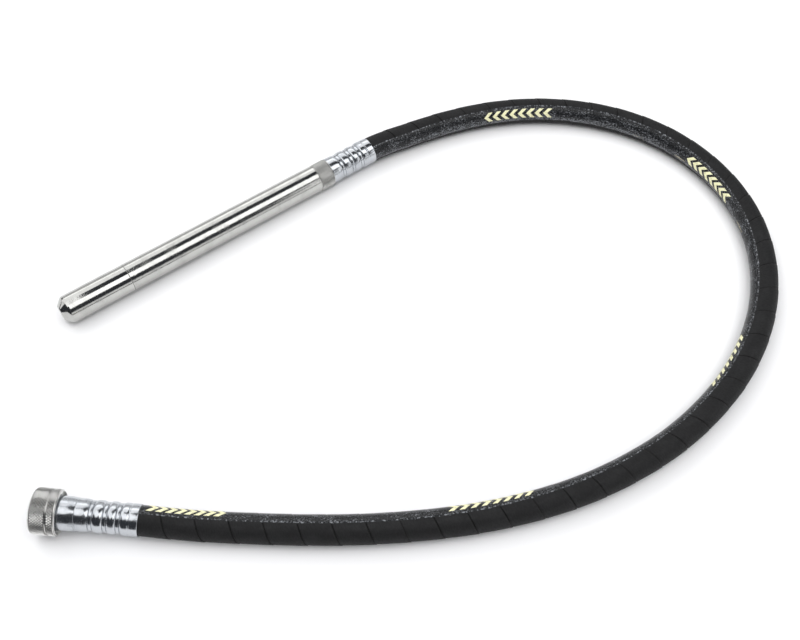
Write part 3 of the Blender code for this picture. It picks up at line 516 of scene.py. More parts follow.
def rounded(corners: Sequence[tuple[float, ...]], steps: int = 4) -> Outline:
    """Round the corners of an outline.

    Args:
        corners: Points as (station, radius) or (station, radius, fillet).
        steps: How many spans each fillet has.

    Returns:
        The outline's points. Its first and last points stay as they are.
    """
    points: Outline = []
    for index, corner in enumerate(corners):
        here = Vector(corner[:2])
        fillet = corner[2] if len(corner) > 2 else 0.0
        if fillet <= 0.0 or index in (0, len(corners) - 1):
            points.append((here.x, here.y))
            continue
        back = Vector(corners[index - 1][:2]) - here
        ahead = Vector(corners[index + 1][:2]) - here
        reach = min(fillet, back.length * 0.45, ahead.length * 0.45)
        start = here + back.normalized() * reach
        end = here + ahead.normalized() * reach
        for step in range(steps + 1):
            share = step / steps
            point = start * (1.0 - share) ** 2 + here * 2.0 * share * (1.0 - share) + end * share ** 2
            points.append((point.x, point.y))
    return points


class Lathe:
    """A workpiece on a lathe, drawn out along X ring by ring and then set on its axis.

    Attributes:
        piece: The mesh object.
        sides: The number of points in each ring.
    """

    def __init__(self, name: str, sides: int, start: tuple[float, float]) -> None:
        """Start with one ring.

        Args:
            name: The piece's name.
            sides: The number of points in the ring.
            start: The ring's station and radius.
        """
        bpy.ops.object.select_all(action="DESELECT")
        bpy.ops.mesh.primitive_circle_add(vertices=sides, radius=start[1], fill_type="NOTHING",
                                          location=(start[0], 0.0, 0.0), rotation=(0.0, math.pi / 2.0, 0.0))
        self.piece = bpy.context.object
        self.piece.name = name
        self.piece.data.name = name
        self.sides = sides
        self._start = start
        self._at = start
        bpy.ops.object.transform_apply(location=True, rotation=True, scale=True)
        bpy.ops.object.mode_set(mode="EDIT")
        bpy.ops.mesh.select_mode(type="EDGE")
        bpy.ops.mesh.select_all(action="SELECT")

    def draw(self, outline: Sequence[tuple[float, float]]) -> "Lathe":
        """Extrude the last ring from one point of an outline to the next.

        Args:
            outline: Stations and radii. A point like the last one is passed over.

        Returns:
            This workpiece.
        """
        for station, radius in outline:
            move, ratio = station - self._at[0], radius / self._at[1]
            if abs(move) < 1e-7 and abs(radius - self._at[1]) < 1e-7:
                continue
            bpy.ops.mesh.extrude_region_move(TRANSFORM_OT_translate={"value": (move, 0.0, 0.0)})
            bpy.ops.transform.resize(value=(1.0, ratio, ratio), center_override=(station, 0.0, 0.0))
            self._at = (station, radius)
        return self

    def cap(self) -> "Lathe":
        """Close the last ring with a flat face in two steps, so that it has no long thin triangles at its rim."""
        self.draw([(self._at[0], self._at[1] * 0.4), (self._at[0], self._at[1] * 0.08)])
        bpy.ops.mesh.merge(type="CENTER")
        return self

    def cap_start(self) -> "Lathe":
        """Close the first ring in the same way."""
        bpy.ops.object.mode_set(mode="OBJECT")
        for edge in self.piece.data.edges:
            ends = [self.piece.data.vertices[i].co for i in edge.vertices]
            edge.select = all(
                abs(p.x - self._start[0]) < 1e-6 and abs(math.hypot(p.y, p.z) - self._start[1]) < 1e-6 for p in ends
            )
        bpy.ops.object.mode_set(mode="EDIT")
        self._at = self._start
        return self.cap()

    def close(self) -> "Lathe":
        """Run the outline back to where it started, so that the piece is a closed ring."""
        return self.draw([self._start])

    def finish(self, axis: Axis, smooth_angle: float = 32.0) -> bpy.types.Object:
        """Merge doubles, point the faces outwards and set the piece on its axis.

        Args:
            axis: Where the piece belongs.
            smooth_angle: Edges under this many degrees are shaded smooth.

        Returns:
            The finished piece, with its place in its mesh.
        """
        bpy.ops.object.mode_set(mode="EDIT")
        bpy.ops.mesh.select_all(action="SELECT")
        bpy.ops.mesh.remove_doubles(threshold=1e-6)
        settle(self.piece, axis, smooth_angle)
        return self.piece


@dataclass(frozen=True)
class Knurl:
    """A diamond knurl rolled on a band of a turned piece.

    Attributes:
        start: Where the band starts.
        end: Where it ends.
        radius: The radius at the bottom of the grooves.
        depth: How far the diamonds stand above it.
        rows: Half diamonds along the band, an even number.
    """

    start: float
    end: float
    radius: float
    depth: float
    rows: int

    def outline(self) -> Outline:
        """Return the band's rings."""
        pitch = (self.end - self.start) / self.rows
        return [(self.start + row * pitch, self.radius) for row in range(self.rows + 1)]

    def raise_diamonds(self, work: Lathe) -> None:
        """Lift every other point of the band, and split its faces along the grooves.

        Args:
            work: The workpiece, still along X.
        """
        bpy.ops.mesh.select_mode(type="VERT")
        bpy.ops.mesh.select_all(action="DESELECT")
        bpy.ops.object.mode_set(mode="OBJECT")
        pitch = (self.end - self.start) / self.rows
        band = set()
        for vertex in work.piece.data.vertices:
            x, y, z = vertex.co
            if abs(math.hypot(y, z) - self.radius) > 1e-5 or not self.start - 1e-6 < x < self.end + 1e-6:
                continue
            band.add(vertex.index)
            row = round((x - self.start) / pitch)
            column = round(math.atan2(z, y) / TURN * work.sides)
            vertex.select = (row + column) % 2 == 0 and 0 < row < self.rows
        bpy.ops.object.mode_set(mode="EDIT")
        ratio = (self.radius + self.depth) / self.radius
        bpy.ops.transform.resize(value=(1.0, ratio, ratio), center_override=(0.0, 0.0, 0.0))
        bpy.ops.mesh.select_all(action="DESELECT")
        bpy.ops.mesh.select_mode(type="FACE")
        bpy.ops.object.mode_set(mode="OBJECT")
        for face in work.piece.data.polygons:
            face.select = all(index in band for index in face.vertices)
        bpy.ops.object.mode_set(mode="EDIT")
        bpy.ops.mesh.quads_convert_to_tris(quad_method="SHORTEST_DIAGONAL", ngon_method="BEAUTY")


class SubAssembly:
    """A group of pieces that is built together and reports what it made."""

    def dress(self, piece: bpy.types.Object, material: bpy.types.Material, body: Body, slot: Slot,
              *nodes: str) -> bpy.types.Object:
        """Give a piece its finish, its body and the CAD nodes that it stands for.

        Args:
            piece: The finished piece.
            material: Its finish.
            body: The CAD body that it rides on.
            slot: The record's slot of its finish. It is not used.
            nodes: The CAD nodes that it replaces.

        Returns:
            The piece.
        """
        piece.data.materials.clear()
        piece.data.materials.append(material)
        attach(piece, body.value)
        if nodes:
            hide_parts(*nodes)
        LOG.info("%s: %d faces, rides on %s", piece.name, len(piece.data.polygons), body.value)
        return piece


@dataclass
class Ferrule:
    """A swaged sleeve with three crimp grooves between beads, and a rim band round the hose's mouth.

    Attributes:
        radius: Its radius over the beads.
        length: Its length.
        grooves: The middle of each crimp groove, from its closed end.
        groove_half: Half the width of a groove.
        groove_depth: How deep the two fine lines at its sides are.
        band_drop: How far the band between the two lines is below the beads' tops.
        bulge: How far a bead falls away towards its sides.
        rim: The length of the rim band.
        rim_step: How deep the fine line before the rim band is.
        mouth_bore: The bore where the hose goes in.
        mouth_depth: How deep the hose goes in before the bore narrows.
        neck: The bore round the hose tail's root.
        lip: The thickness of the closed end.
        overlap: How far the closed end's rim is drawn over the gap before it.
        sides: The number of points round it.
    """

    radius: float = 17.5 * MM
    length: float = 66.0 * MM
    grooves: tuple[float, ...] = (16.2 * MM, 31.4 * MM, 45.2 * MM)
    groove_half: float = 2.5 * MM
    groove_depth: float = 1.95 * MM
    band_drop: float = 1.15 * MM
    bulge: float = 1.05 * MM
    rim: float = 9.0 * MM
    rim_step: float = 0.45 * MM
    mouth_bore: float = 16.75 * MM
    mouth_depth: float = 4.0 * MM
    neck: float = 10.0 * MM
    lip: float = 2.4 * MM
    overlap: float = 0.24 * MM
    sides: int = 112

    def outline(self, start: float) -> Outline:
        """Return the outline, from the outer edge of the closed end round to its bore.

        Args:
            start: The station of the closed end.

        Returns:
            The outline's points.
        """
        face = -self.overlap
        points: Outline = [(0.0, self.radius - 1.6 * MM), (face, self.radius - 1.4 * MM),
                           (face, self.radius - 0.2 * MM), (face + 0.2 * MM, self.radius)]
        rim_start = self.length - self.rim
        lands = [0.0, *self.grooves, rim_start - 2.2 * MM + self.groove_half]
        for index in range(len(lands) - 1):
            low = lands[index] + (self.groove_half if index else 0.5 * MM)
            high = lands[index + 1] - self.groove_half
            for step in range(13):
                place = step / 6.0 - 1.0
                fall = self.bulge * abs(place) ** 2.6
                if (index == 0 and place < 0.0) or (index == len(lands) - 2 and place > 0.0):
                    fall = 0.0
                points.append((low + (high - low) * step / 12.0, self.radius - fall))
            if index < len(lands) - 2:
                points += self.groove_outline(lands[index + 1])
        top = self.radius - 0.1 * MM
        points += rounded([
            (rim_start - 2.2 * MM, self.radius), (rim_start - 1.0 * MM, top - self.rim_step, 0.3 * MM),
            (rim_start, top - self.rim_step, 0.3 * MM), (rim_start + 0.5 * MM, top, 0.3 * MM),
            (self.length - 0.5 * MM, top, 0.4 * MM), (self.length, top - 0.35 * MM, 0.2 * MM),
            (self.length, self.mouth_bore),
        ], 3)
        mouth_end = self.length - self.mouth_depth
        points += [(mouth_end, self.mouth_bore), (mouth_end, SLEEVE_BORE), (self.lip, SLEEVE_BORE),
                   (self.lip, self.neck), (0.0, self.neck)]
        return [(start + station, radius) for station, radius in points]

    def groove_outline(self, middle: float) -> Outline:
        """Return one crimp groove: a narrow band between two fine lines.

        Args:
            middle: The station of its middle.

        Returns:
            The outline's points.
        """
        floor, band = self.radius - self.groove_depth, self.radius - self.band_drop
        side = [(-self.groove_half + 0.25 * MM, floor + 0.2 * MM), (-self.groove_half + 0.5 * MM, floor),
                (-self.groove_half + 0.8 * MM, floor + 0.25 * MM), (-self.groove_half + 1.0 * MM, band - 0.1 * MM),
                (-self.groove_half + 1.3 * MM, band)]
        points = [*side, (0.0, band + 0.05 * MM), *[(-station, radius) for station, radius in reversed(side)]]
        return [(middle + station, radius) for station, radius in points]

    def build(self, name: str, start: float, axis: Axis) -> bpy.types.Object:
        """Model the ferrule.

        Args:
            name: The piece's name.
            start: The station of its closed end.
            axis: The line that it is round about.

        Returns:
            The piece.
        """
        outline = self.outline(start)
        return Lathe(name, self.sides, outline[0]).draw(outline[1:]).close().finish(axis, 50.0)


@dataclass
class Head(SubAssembly):
    """The vibrating head: nose, tube and the knurled collar of the hose adapter, with its ferrule.

    Attributes:
        axis: Its line, from the flat of the nose towards the hose.
        radius: The radius of nose, tube and collar.
        nose_length: The length of the nose piece.
        nose_chamfer: How far the nose's chamfer runs back.
        tube_end: The station where the tube ends.
        collar_end: The station where the knurled collar ends.
        bore: The bore of the tube at its ends.
        spigot: The radius of the spigots inside the tube.
        spigot_length: The length of the spigots.
        seam: The width of the fine gaps between the pieces.
        edge: The size of the broken edges beside the gaps.
        sides: The number of points round each piece.
    """

    axis: Axis
    radius: float = 18.0 * MM
    nose_length: float = 90.0 * MM
    nose_chamfer: float = 8.5 * MM
    tube_end: float = 365.0 * MM
    collar_end: float = 385.3 * MM
    bore: float = 14.3 * MM
    spigot: float = 14.0 * MM
    spigot_length: float = 16.0 * MM
    seam: float = 0.3 * MM
    edge: float = 0.22 * MM
    sides: int = 144
    ferrule: Ferrule = field(default_factory=Ferrule)

    def build_nose(self) -> bpy.types.Object:
        """Model the nose: a flat, a chamfer, the bare length and the spigot inside the tube."""
        flat = self.radius - self.nose_chamfer
        end = self.nose_length + self.spigot_length
        outline = rounded([
            (0.0, flat * 0.55), (0.0, flat, 0.5 * MM), (self.nose_chamfer, self.radius, 2.6 * MM),
            (self.nose_length - self.edge, self.radius, 0.1 * MM), (self.nose_length, self.radius - self.edge),
            (self.nose_length, self.spigot), (end - 0.6 * MM, self.spigot), (end, self.spigot - 0.6 * MM),
        ])
        work = Lathe("head_nose", self.sides, outline[0]).draw(outline[1:]).cap()
        return work.cap_start().finish(self.axis)

    def build_tube(self) -> bpy.types.Object:
        """Model the long tube with its broken edges."""
        start = self.nose_length + self.seam
        outline = rounded([
            (start, self.bore), (start, self.radius - self.edge, 0.05 * MM), (start + self.edge, self.radius, 0.1 * MM),
            (self.tube_end - self.edge, self.radius, 0.1 * MM), (self.tube_end, self.radius - self.edge, 0.05 * MM),
            (self.tube_end, self.bore),
        ])
        return Lathe("head_barrel", self.sides, outline[0]).draw(outline[1:]).close().finish(self.axis)

    def build_collar(self) -> bpy.types.Object:
        """Model the hose adapter: spigot, knurled collar and tail."""
        start = self.tube_end + self.seam
        rim = 0.7 * MM
        knurl = Knurl(start + rim, self.collar_end - rim, self.radius - 0.36 * MM, 0.4 * MM, 18)
        tail_end = self.collar_end + TAIL_LENGTH
        work = Lathe("hose_adapter_collar", 120, (start - self.spigot_length, TAIL_BORE))
        work.draw([(start - self.spigot_length, self.spigot), (start, self.spigot),
                   (start, self.radius - self.edge), (start + self.edge, self.radius - 0.05 * MM),
                   (start + rim * 0.8, self.radius - 0.05 * MM)])
        work.draw(knurl.outline())
        work.draw([(self.collar_end - rim * 0.8, self.radius - 0.05 * MM),
                   (self.collar_end - self.edge, self.radius - 0.05 * MM),
                   (self.collar_end, self.radius - self.edge), (self.collar_end, TAIL_RADIUS),
                   (tail_end, TAIL_RADIUS), (tail_end, TAIL_BORE)])
        work.close()
        knurl.raise_diamonds(work)
        return work.finish(self.axis, 20.0)

    def build(self) -> None:
        """Build and dress the head."""
        self.dress(self.build_nose(), POLISHED_STEEL.build(self.axis), Body.SHAFT, Slot.POLISHED, "head_tip")
        self.dress(self.build_tube(), TUBE_STEEL.build(self.axis), Body.SHAFT, Slot.POLISHED, "head_tube")
        # The relief radii put painted shade in the bottoms of the knurl's grooves.
        collar_steel = COLLAR_STEEL.build(self.axis, (self.radius - 0.34 * MM, self.radius - 0.2 * MM))
        self.dress(self.build_collar(), collar_steel, Body.SHAFT, Slot.COLLAR, "hose_adapter")
        ferrule = self.ferrule.build("head_crimp_sleeve", self.collar_end + self.seam, self.axis)
        self.dress(ferrule, ZINC_PLATE.build(self.axis), Body.SHAFT, Slot.ZINC, "head_ferrule")


@dataclass
class Coupling(SubAssembly):
    """The drive coupling: body, ferrule, nut, washer, bush and drive tang.

    Attributes:
        axis: Its line, from the front of the nut towards the hose.
        sleeve_radius: The radius of the bare sleeve.
        sleeve_end: The station where the sleeve ends.
        end_radius: The radius that the sleeve tapers to at its end.
        flange_radius: The radius of the flange inside the nut.
        flange: The stations of the flange's two faces.
        register_radius: The radius of the register in front of the flange.
        register_face: The station of its face.
        socket_bore: The bore round the tang.
        nut_radius: The radius over the nut's knurl.
        nut_length: The nut's length.
        nut_bore: The nut's threaded bore.
        nut_rear_bore: The bore round the sleeve.
        nut_web: The thickness of the nut's web.
        recess: The depth of the recess in the nut's back.
        groove_at: The middle of the groove in the nut's outside.
        thread_pitch: The pitch of the nut's thread.
        tang_radius: The radius of the tang's shank.
        sides: The number of points round a plain piece.
    """

    axis: Axis
    sleeve_radius: float = 18.4 * MM
    sleeve_end: float = 46.0 * MM
    end_radius: float = 17.55 * MM
    flange_radius: float = 20.0 * MM
    flange: tuple[float, float] = (17.2 * MM, 21.7 * MM)
    register_radius: float = 15.5 * MM
    register_face: float = 13.2 * MM
    socket_bore: float = 9.0 * MM
    nut_radius: float = 25.0 * MM
    nut_length: float = 28.5 * MM
    nut_bore: float = 20.4 * MM
    nut_rear_bore: float = 19.0 * MM
    nut_web: float = 4.6 * MM
    recess: float = 2.6 * MM
    groove_at: float = 18.6 * MM
    thread_pitch: float = 2.0 * MM
    tang_radius: float = 5.0 * MM
    sides: int = 128
    ferrule: Ferrule = field(default_factory=Ferrule)

    def build_body(self) -> bpy.types.Object:
        """Model the body: register, flange, bare sleeve and the tail inside the ferrule."""
        front, back = self.flange
        tail_end = self.sleeve_end + TAIL_LENGTH
        taper, socket_end = self.sleeve_end - 6.0 * MM, self.sleeve_end - 4.0 * MM
        outline = rounded([
            (self.register_face, self.socket_bore), (self.register_face, self.register_radius, 0.4 * MM),
            (front, self.register_radius), (front, self.flange_radius, 0.4 * MM), (back, self.flange_radius, 0.4 * MM),
            (back, self.sleeve_radius), (taper, self.sleeve_radius, 5.0 * MM),
            (self.sleeve_end - 0.2 * MM, self.end_radius), (self.sleeve_end, self.end_radius - 0.2 * MM),
            (self.sleeve_end, TAIL_RADIUS), (tail_end, TAIL_RADIUS), (tail_end, TAIL_BORE), (socket_end, TAIL_BORE),
            (socket_end, self.socket_bore),
        ])
        return Lathe("coupling_sleeve", self.sides, outline[0]).draw(outline[1:]).close().finish(self.axis)

    def build_nut(self) -> bpy.types.Object:
        """Model the nut with its diamond knurl, its groove and its chamfers.

        The real knurl is too fine to measure here, probably 1.6 to 2 mm. It is drawn 3 mm round, so that it shows.
        """
        depth = 0.9 * MM
        root = self.nut_radius - depth
        knurl_a = Knurl(2.2 * MM, self.groove_at - 0.7 * MM, root, depth, 10)
        knurl_b = Knurl(self.groove_at + 0.7 * MM, self.nut_length - 1.9 * MM, root, depth, 4)
        bore, web = self.nut_bore, self.nut_length - self.nut_web
        floor = self.nut_radius - 1.25 * MM
        work = Lathe("coupling_nut_body", 104, (0.0, bore + 0.9 * MM))
        work.draw(rounded([(0.0, bore + 0.9 * MM), (0.0, 22.4 * MM, 0.3 * MM), (2.1 * MM, root, 0.5 * MM),
                           (2.15 * MM, root)], 3))
        work.draw(knurl_a.outline())
        work.draw([(self.groove_at - 0.5 * MM, root), (self.groove_at - 0.42 * MM, floor),
                   (self.groove_at + 0.42 * MM, floor), (self.groove_at + 0.5 * MM, root)])
        work.draw(knurl_b.outline())
        rear, floor_at = self.nut_length, self.nut_length - self.recess
        work.draw(rounded([(rear - 1.85 * MM, root), (rear - 1.8 * MM, root + 0.5 * MM, 0.2 * MM),
                           (rear - 1.2 * MM, root + 0.5 * MM, 0.2 * MM), (rear, 23.3 * MM, 0.3 * MM),
                           (rear, 22.7 * MM, 0.2 * MM), (floor_at, 22.4 * MM), (floor_at, 19.4 * MM),
                           (floor_at - 0.4 * MM, self.nut_rear_bore), (web, self.nut_rear_bore), (web, bore),
                           (0.9 * MM, bore)], 3))
        work.close()
        for knurl in (knurl_a, knurl_b):
            knurl.raise_diamonds(work)
        return work.finish(self.axis, 20.0)

    def build_thread(self) -> bpy.types.Object:
        """Model the nut's internal thread as one ridge, wound through the bore by a screw modifier."""
        turns = 8
        crest = self.nut_bore - 1.0 * MM
        half = self.thread_pitch * 0.42
        start = 1.5 * MM
        bpy.ops.object.select_all(action="DESELECT")
        bpy.ops.mesh.primitive_circle_add(vertices=4, radius=1.0, fill_type="NOTHING")
        ridge = bpy.context.object
        ridge.name = ridge.data.name = "coupling_nut_thread"
        section = [(start - half, self.nut_bore + 0.12 * MM), (start - half * 0.12, crest),
                   (start + half * 0.12, crest), (start + half, self.nut_bore + 0.12 * MM)]
        for vertex, (station, radius) in zip(ridge.data.vertices, section):
            vertex.co = (station, 0.0, radius)
        screw = ridge.modifiers.new("wind", "SCREW")
        screw.axis = "X"
        screw.angle = TURN * turns
        screw.screw_offset = self.thread_pitch * turns
        screw.steps = screw.render_steps = 56 * turns
        bpy.ops.object.modifier_apply(modifier=screw.name)
        bpy.ops.object.mode_set(mode="EDIT")
        bpy.ops.mesh.select_mode(type="VERT")
        bpy.ops.mesh.select_all(action="DESELECT")
        bpy.ops.mesh.select_non_manifold(extend=False)
        bpy.ops.mesh.fill_holes(sides=8)
        settle(ridge, self.axis, 20.0)
        return ridge

    def build_tang(self) -> bpy.types.Object:
        """Model the drive tang: a shank with a collar, milled flat on two sides at its end."""
        r, grip = self.tang_radius, 6.4 * MM
        outline = rounded([
            (3.0 * MM, r - 0.8 * MM), (3.8 * MM, r, 0.2 * MM), (13.5 * MM, r), (13.5 * MM, 7.5 * MM, 0.3 * MM),
            (16.5 * MM, 7.5 * MM, 0.3 * MM), (16.5 * MM, r), (42.3 * MM, r), (42.3 * MM, grip, 0.3 * MM),
            (60.3 * MM, grip, 0.3 * MM), (60.3 * MM, r * 0.9),
        ], 3)
        work = Lathe("drive_tang_blade", 64, outline[0]).draw(outline[1:]).cap()
        work.cap_start()
        bpy.ops.object.mode_set(mode="OBJECT")
        tang = work.piece
        for side in (-1.0, 1.0):
            bpy.ops.object.select_all(action="DESELECT")
            bpy.ops.mesh.primitive_cube_add(size=1.0, location=(6.0 * MM, side * 6.5 * MM, 0.0),
                                            scale=(12.0 * MM, 8.0 * MM, 16.0 * MM))
            cutter = bpy.context.object
            bevel = cutter.modifiers.new("run_out", "BEVEL")
            bevel.width, bevel.segments = 1.0 * MM, 4
            select_only(tang)
            flat = tang.modifiers.new("flat", "BOOLEAN")
            flat.operation, flat.solver, flat.object = "DIFFERENCE", "EXACT", cutter
            bpy.ops.object.modifier_apply(modifier=flat.name)
            bpy.data.objects.remove(cutter, do_unlink=True)
        select_only(tang)
        return work.finish(self.axis)

    def build_ring(self, name: str, start: float, end: float, inner: float, outer: float) -> bpy.types.Object:
        """Model a plain ring with broken edges.

        Args:
            name: The piece's name.
            start: The station of its first face.
            end: The station of its last face.
            inner: Its bore radius.
            outer: Its outer radius.

        Returns:
            The piece.
        """
        edge = 0.3 * MM
        outline = [(start + edge, inner), (start, inner + edge), (start, outer - edge), (start + edge, outer),
                   (end - edge, outer), (end, outer - edge), (end, inner + edge), (end - edge, inner)]
        return Lathe(name, 96, outline[0]).draw(outline[1:]).close().finish(self.axis)

    def build(self) -> None:
        """Build and dress the coupling."""
        zinc = ZINC_PLATE.build(self.axis)
        # The relief radii put painted shade in the bottoms of the knurl's grooves.
        nut_steel = NUT_STEEL.build(self.axis, (self.nut_radius - 0.82 * MM, self.nut_radius - 0.45 * MM))
        turned = TURNED_STEEL.build(self.axis)
        self.dress(self.build_body(), zinc, Body.SHAFT, Slot.ZINC, "coupling_body")
        ferrule = self.ferrule.build("coupling_crimp_sleeve", self.sleeve_end + 0.3 * MM, self.axis)
        self.dress(ferrule, zinc, Body.SHAFT, Slot.ZINC, "coupling_ferrule")
        self.dress(self.build_nut(), nut_steel, Body.NUT, Slot.NUT, "coupling_nut")
        self.dress(self.build_thread(), nut_steel, Body.NUT, Slot.NUT)
        self.dress(self.build_tang(), turned, Body.TANG, Slot.TURNED, "drive_tang")
        washer = self.build_ring("thrust_washer", 22.0 * MM, 23.6 * MM, 18.7 * MM, 20.0 * MM)
        self.dress(washer, turned, Body.CARRIER, Slot.TURNED, "nut_thrust_washer")
        bush = self.build_ring("bronze_bush", 16.8 * MM, 41.7 * MM, 5.4 * MM, 8.7 * MM)
        self.dress(bush, SINTERED_BRONZE.build(self.axis), Body.SHAFT, Slot.BRONZE, "tang_bush")


@dataclass(frozen=True)
class Mark:
    """One printed mark: a plain chevron across the strip.

    Attributes:
        offset: Where the mark starts, from the start of its block.
        width: Its width along the hose.
        lean: How far its middle leads its two ends along the hose.
    """

    offset: float
    width: float
    lean: float


@dataclass
class Hose(SubAssembly):
    """The wrapped rubber hose on its resting route, with its printed strip.

    Attributes:
        head: The head's axis.
        coupling: The coupling's axis.
        route: Ground points of the hose's axis, from the coupling's mouth to the head's.
        radius: The hose's radius.
        mouths: The stations of the two ferrules' mouths, on the coupling and on the head.
        inset: How far the hose goes on inside each mouth.
        drop: How far the hose comes down after the coupling's mouth.
        slope: The coupling's slope, in degrees.
        head_drop: How far it comes down after the head's mouth.
        head_ease: The length in which it does so.
        pitch: The lead of the wrapping's seam.
        lap: How far the wrapping stands up at its lap.
        seam_depth: How deep the seam is.
        sides: The number of points round it.
        bare_rows: The places of the mesh's rows across one lead, away from the seam.
        strip_half: Half the width of the printed strip.
        strip_rise: How far the strip stands proud.
        strip_turn: How high the strip's middle is above the hose's inner side, in degrees, at shares of its length.
        blocks: The start and the end of each printed block, from the coupling's mouth.
        mark_half: Half the height of a mark.
    """

    head: Axis
    coupling: Axis
    route: tuple[tuple[float, float], ...] = (
        (-0.0245, -0.2655), (0.0365, -0.2660), (0.0970, -0.2645), (0.1575, -0.2615), (0.2170, -0.2560),
        (0.2765, -0.2470), (0.3345, -0.2345), (0.3910, -0.2170), (0.4460, -0.1940), (0.4980, -0.1645),
        (0.5470, -0.1285), (0.5905, -0.0855), (0.6275, -0.0370), (0.6560, 0.0175), (0.6740, 0.0755),
        (0.6795, 0.1350), (0.6715, 0.1940), (0.6495, 0.2485), (0.6145, 0.2960), (0.5685, 0.3335),
        (0.5140, 0.3585), (0.4540, 0.3705), (0.3920, 0.3700), (0.3315, 0.3580), (0.2745, 0.3365),
        (0.2210, 0.3085), (0.1710, 0.2765),
    )
    radius: float = 16.5 * MM
    mouths: tuple[float, float] = (112.3 * MM, 451.6 * MM)
    inset: float = 3.4 * MM
    drop: float = 2.43 * MM
    slope: float = 4.0
    head_drop: float = 1.5 * MM
    head_ease: float = 90.0 * MM
    pitch: float = 36.0 * MM
    lap: float = 0.40 * MM
    seam_depth: float = 0.7 * MM
    sides: int = 84
    bare_rows: tuple[float, ...] = (0.0, 0.45, 0.9, 1.6, 3.5, 6.5, 9.5, 12.5, 15.5, 18.5, 21.5, 24.5, 27.5, 30.5,
                                    33.0, 34.8, 35.55)
    strip_half: float = 11.0 * MM
    strip_rise: float = 0.1 * MM
    strip_turn: tuple[tuple[float, float], ...] = ((0.0, 48.0), (0.22, 46.0), (0.42, 20.0), (0.55, 13.0),
                                                   (0.68, 22.0), (0.84, 36.0), (1.0, 20.0))
    blocks: tuple[tuple[float, float], ...] = ((0.0060, 0.0913), (0.3276, 0.4252), (0.6857, 0.7778),
                                               (1.0043, 1.0933), (1.3017, 1.4005))
    mark_half: float = 6.2 * MM

    def __post_init__(self) -> None:
        """Work out the hose's axis."""
        self._line = self._centreline()
        steps = np.linalg.norm(np.diff(self._line, axis=0), axis=1)
        self._travelled = np.concatenate([[0.0], np.cumsum(steps)])
        self.length = float(self._travelled[-1])

    def _centreline(self) -> np.ndarray:
        """Return closely spaced points on the hose's axis, from inside one ferrule to inside the other."""
        corners = np.array(self.route)
        tangents = np.zeros_like(corners)
        tangents[1:-1] = (corners[2:] - corners[:-2]) / 2.0
        ends = []
        for direction, sign in ((self.coupling.direction, 1.0), (self.head.direction, -1.0)):
            flat = np.array([direction.x, direction.y])
            ends.append(sign * flat / np.linalg.norm(flat))
        tangents[0] = ends[0] * np.linalg.norm(corners[1] - corners[0])
        tangents[-1] = ends[1] * np.linalg.norm(corners[-1] - corners[-2])
        share = np.linspace(0.0, 1.0, 25)[:-1, None]
        square, cube = share ** 2, share ** 3
        spans = [
            corners[i] * (2 * cube - 3 * square + 1) + tangents[i] * (cube - 2 * square + share)
            + corners[i + 1] * (3 * square - 2 * cube) + tangents[i + 1] * (cube - square)
            for i in range(len(corners) - 1)
        ]
        flat_line = np.vstack([*spans, corners[-1:]])
        travelled = np.concatenate([[0.0], np.cumsum(np.linalg.norm(np.diff(flat_line, axis=0), axis=1))])
        ease = 2.0 * self.drop / math.tan(math.radians(self.slope))
        near = np.clip(1.0 - travelled / ease, 0.0, 1.0)
        far = np.clip(1.0 - (travelled[-1] - travelled) / self.head_ease, 0.0, 1.0)
        height = self.radius + self.drop * near ** 2 + self.head_drop * far ** 2 * (3.0 - 2.0 * far)
        line = np.column_stack([flat_line, height])
        first = [np.array(self.coupling.point(self.mouths[0] - back)) for back in (self.inset, self.inset / 2.0)]
        last = [np.array(self.head.point(self.mouths[1] - back)) for back in (self.inset / 2.0, self.inset)]
        return np.vstack([first, line, last])

    def frame_at(self, along: np.ndarray) -> tuple[np.ndarray, np.ndarray, np.ndarray]:
        """Return points of the axis with the directions to the loop's inner side and up.

        Args:
            along: Distances along the axis.

        Returns:
            The points, the inner directions and the upward directions.
        """
        point = np.stack([np.interp(along, self._travelled, self._line[:, k]) for k in range(3)], axis=-1)
        reach = 4.0 * MM
        low, high = np.clip(along - reach, 0.0, None), np.clip(along + reach, None, self.length)
        ahead = np.stack([np.interp(high, self._travelled, self._line[:, k]) for k in range(3)], axis=-1)
        behind = np.stack([np.interp(low, self._travelled, self._line[:, k]) for k in range(3)], axis=-1)
        tangent = ahead - behind
        tangent /= np.linalg.norm(tangent, axis=-1, keepdims=True)
        inner = np.cross(np.array([0.0, 0.0, 1.0]), tangent)
        inner /= np.linalg.norm(inner, axis=-1, keepdims=True)
        return point, inner, np.cross(tangent, inner)

    def strip_angle(self, along: np.ndarray) -> np.ndarray:
        """Return the angle of the strip's middle above the inner side, in radians, at distances along the axis."""
        places = [share * self.length for share, _ in self.strip_turn]
        angles = [math.radians(angle) for _, angle in self.strip_turn]
        smooth = sum(np.interp(along + shift * 0.03, places, angles) for shift in (-2, -1, 0, 1, 2)) / 5.0
        return smooth

    def skin(self, along: np.ndarray, angle: np.ndarray) -> np.ndarray:
        """Return the hose's radius, with its lap, its seam and its strip.

        Args:
            along: Distances along the axis.
            angle: Angles round it from the inner side, from minus to plus half a turn.

        Returns:
            The radii.
        """
        off_seam = np.mod(along - self.pitch * (angle + math.pi) / TURN, self.pitch)
        nearest = np.minimum(off_seam, self.pitch - off_seam)
        lap = self.lap * (off_seam / self.pitch - 1.0)
        seam = -self.seam_depth * np.exp(-(nearest / (0.55 * MM)) ** 2)
        off_strip = np.abs(angle - self.strip_angle(along)) * self.radius
        on_strip = np.clip((self.strip_half - off_strip) / (1.2 * MM), 0.0, 1.0)
        return self.radius + (lap + seam) * (1.0 - 0.55 * on_strip) + self.strip_rise * on_strip

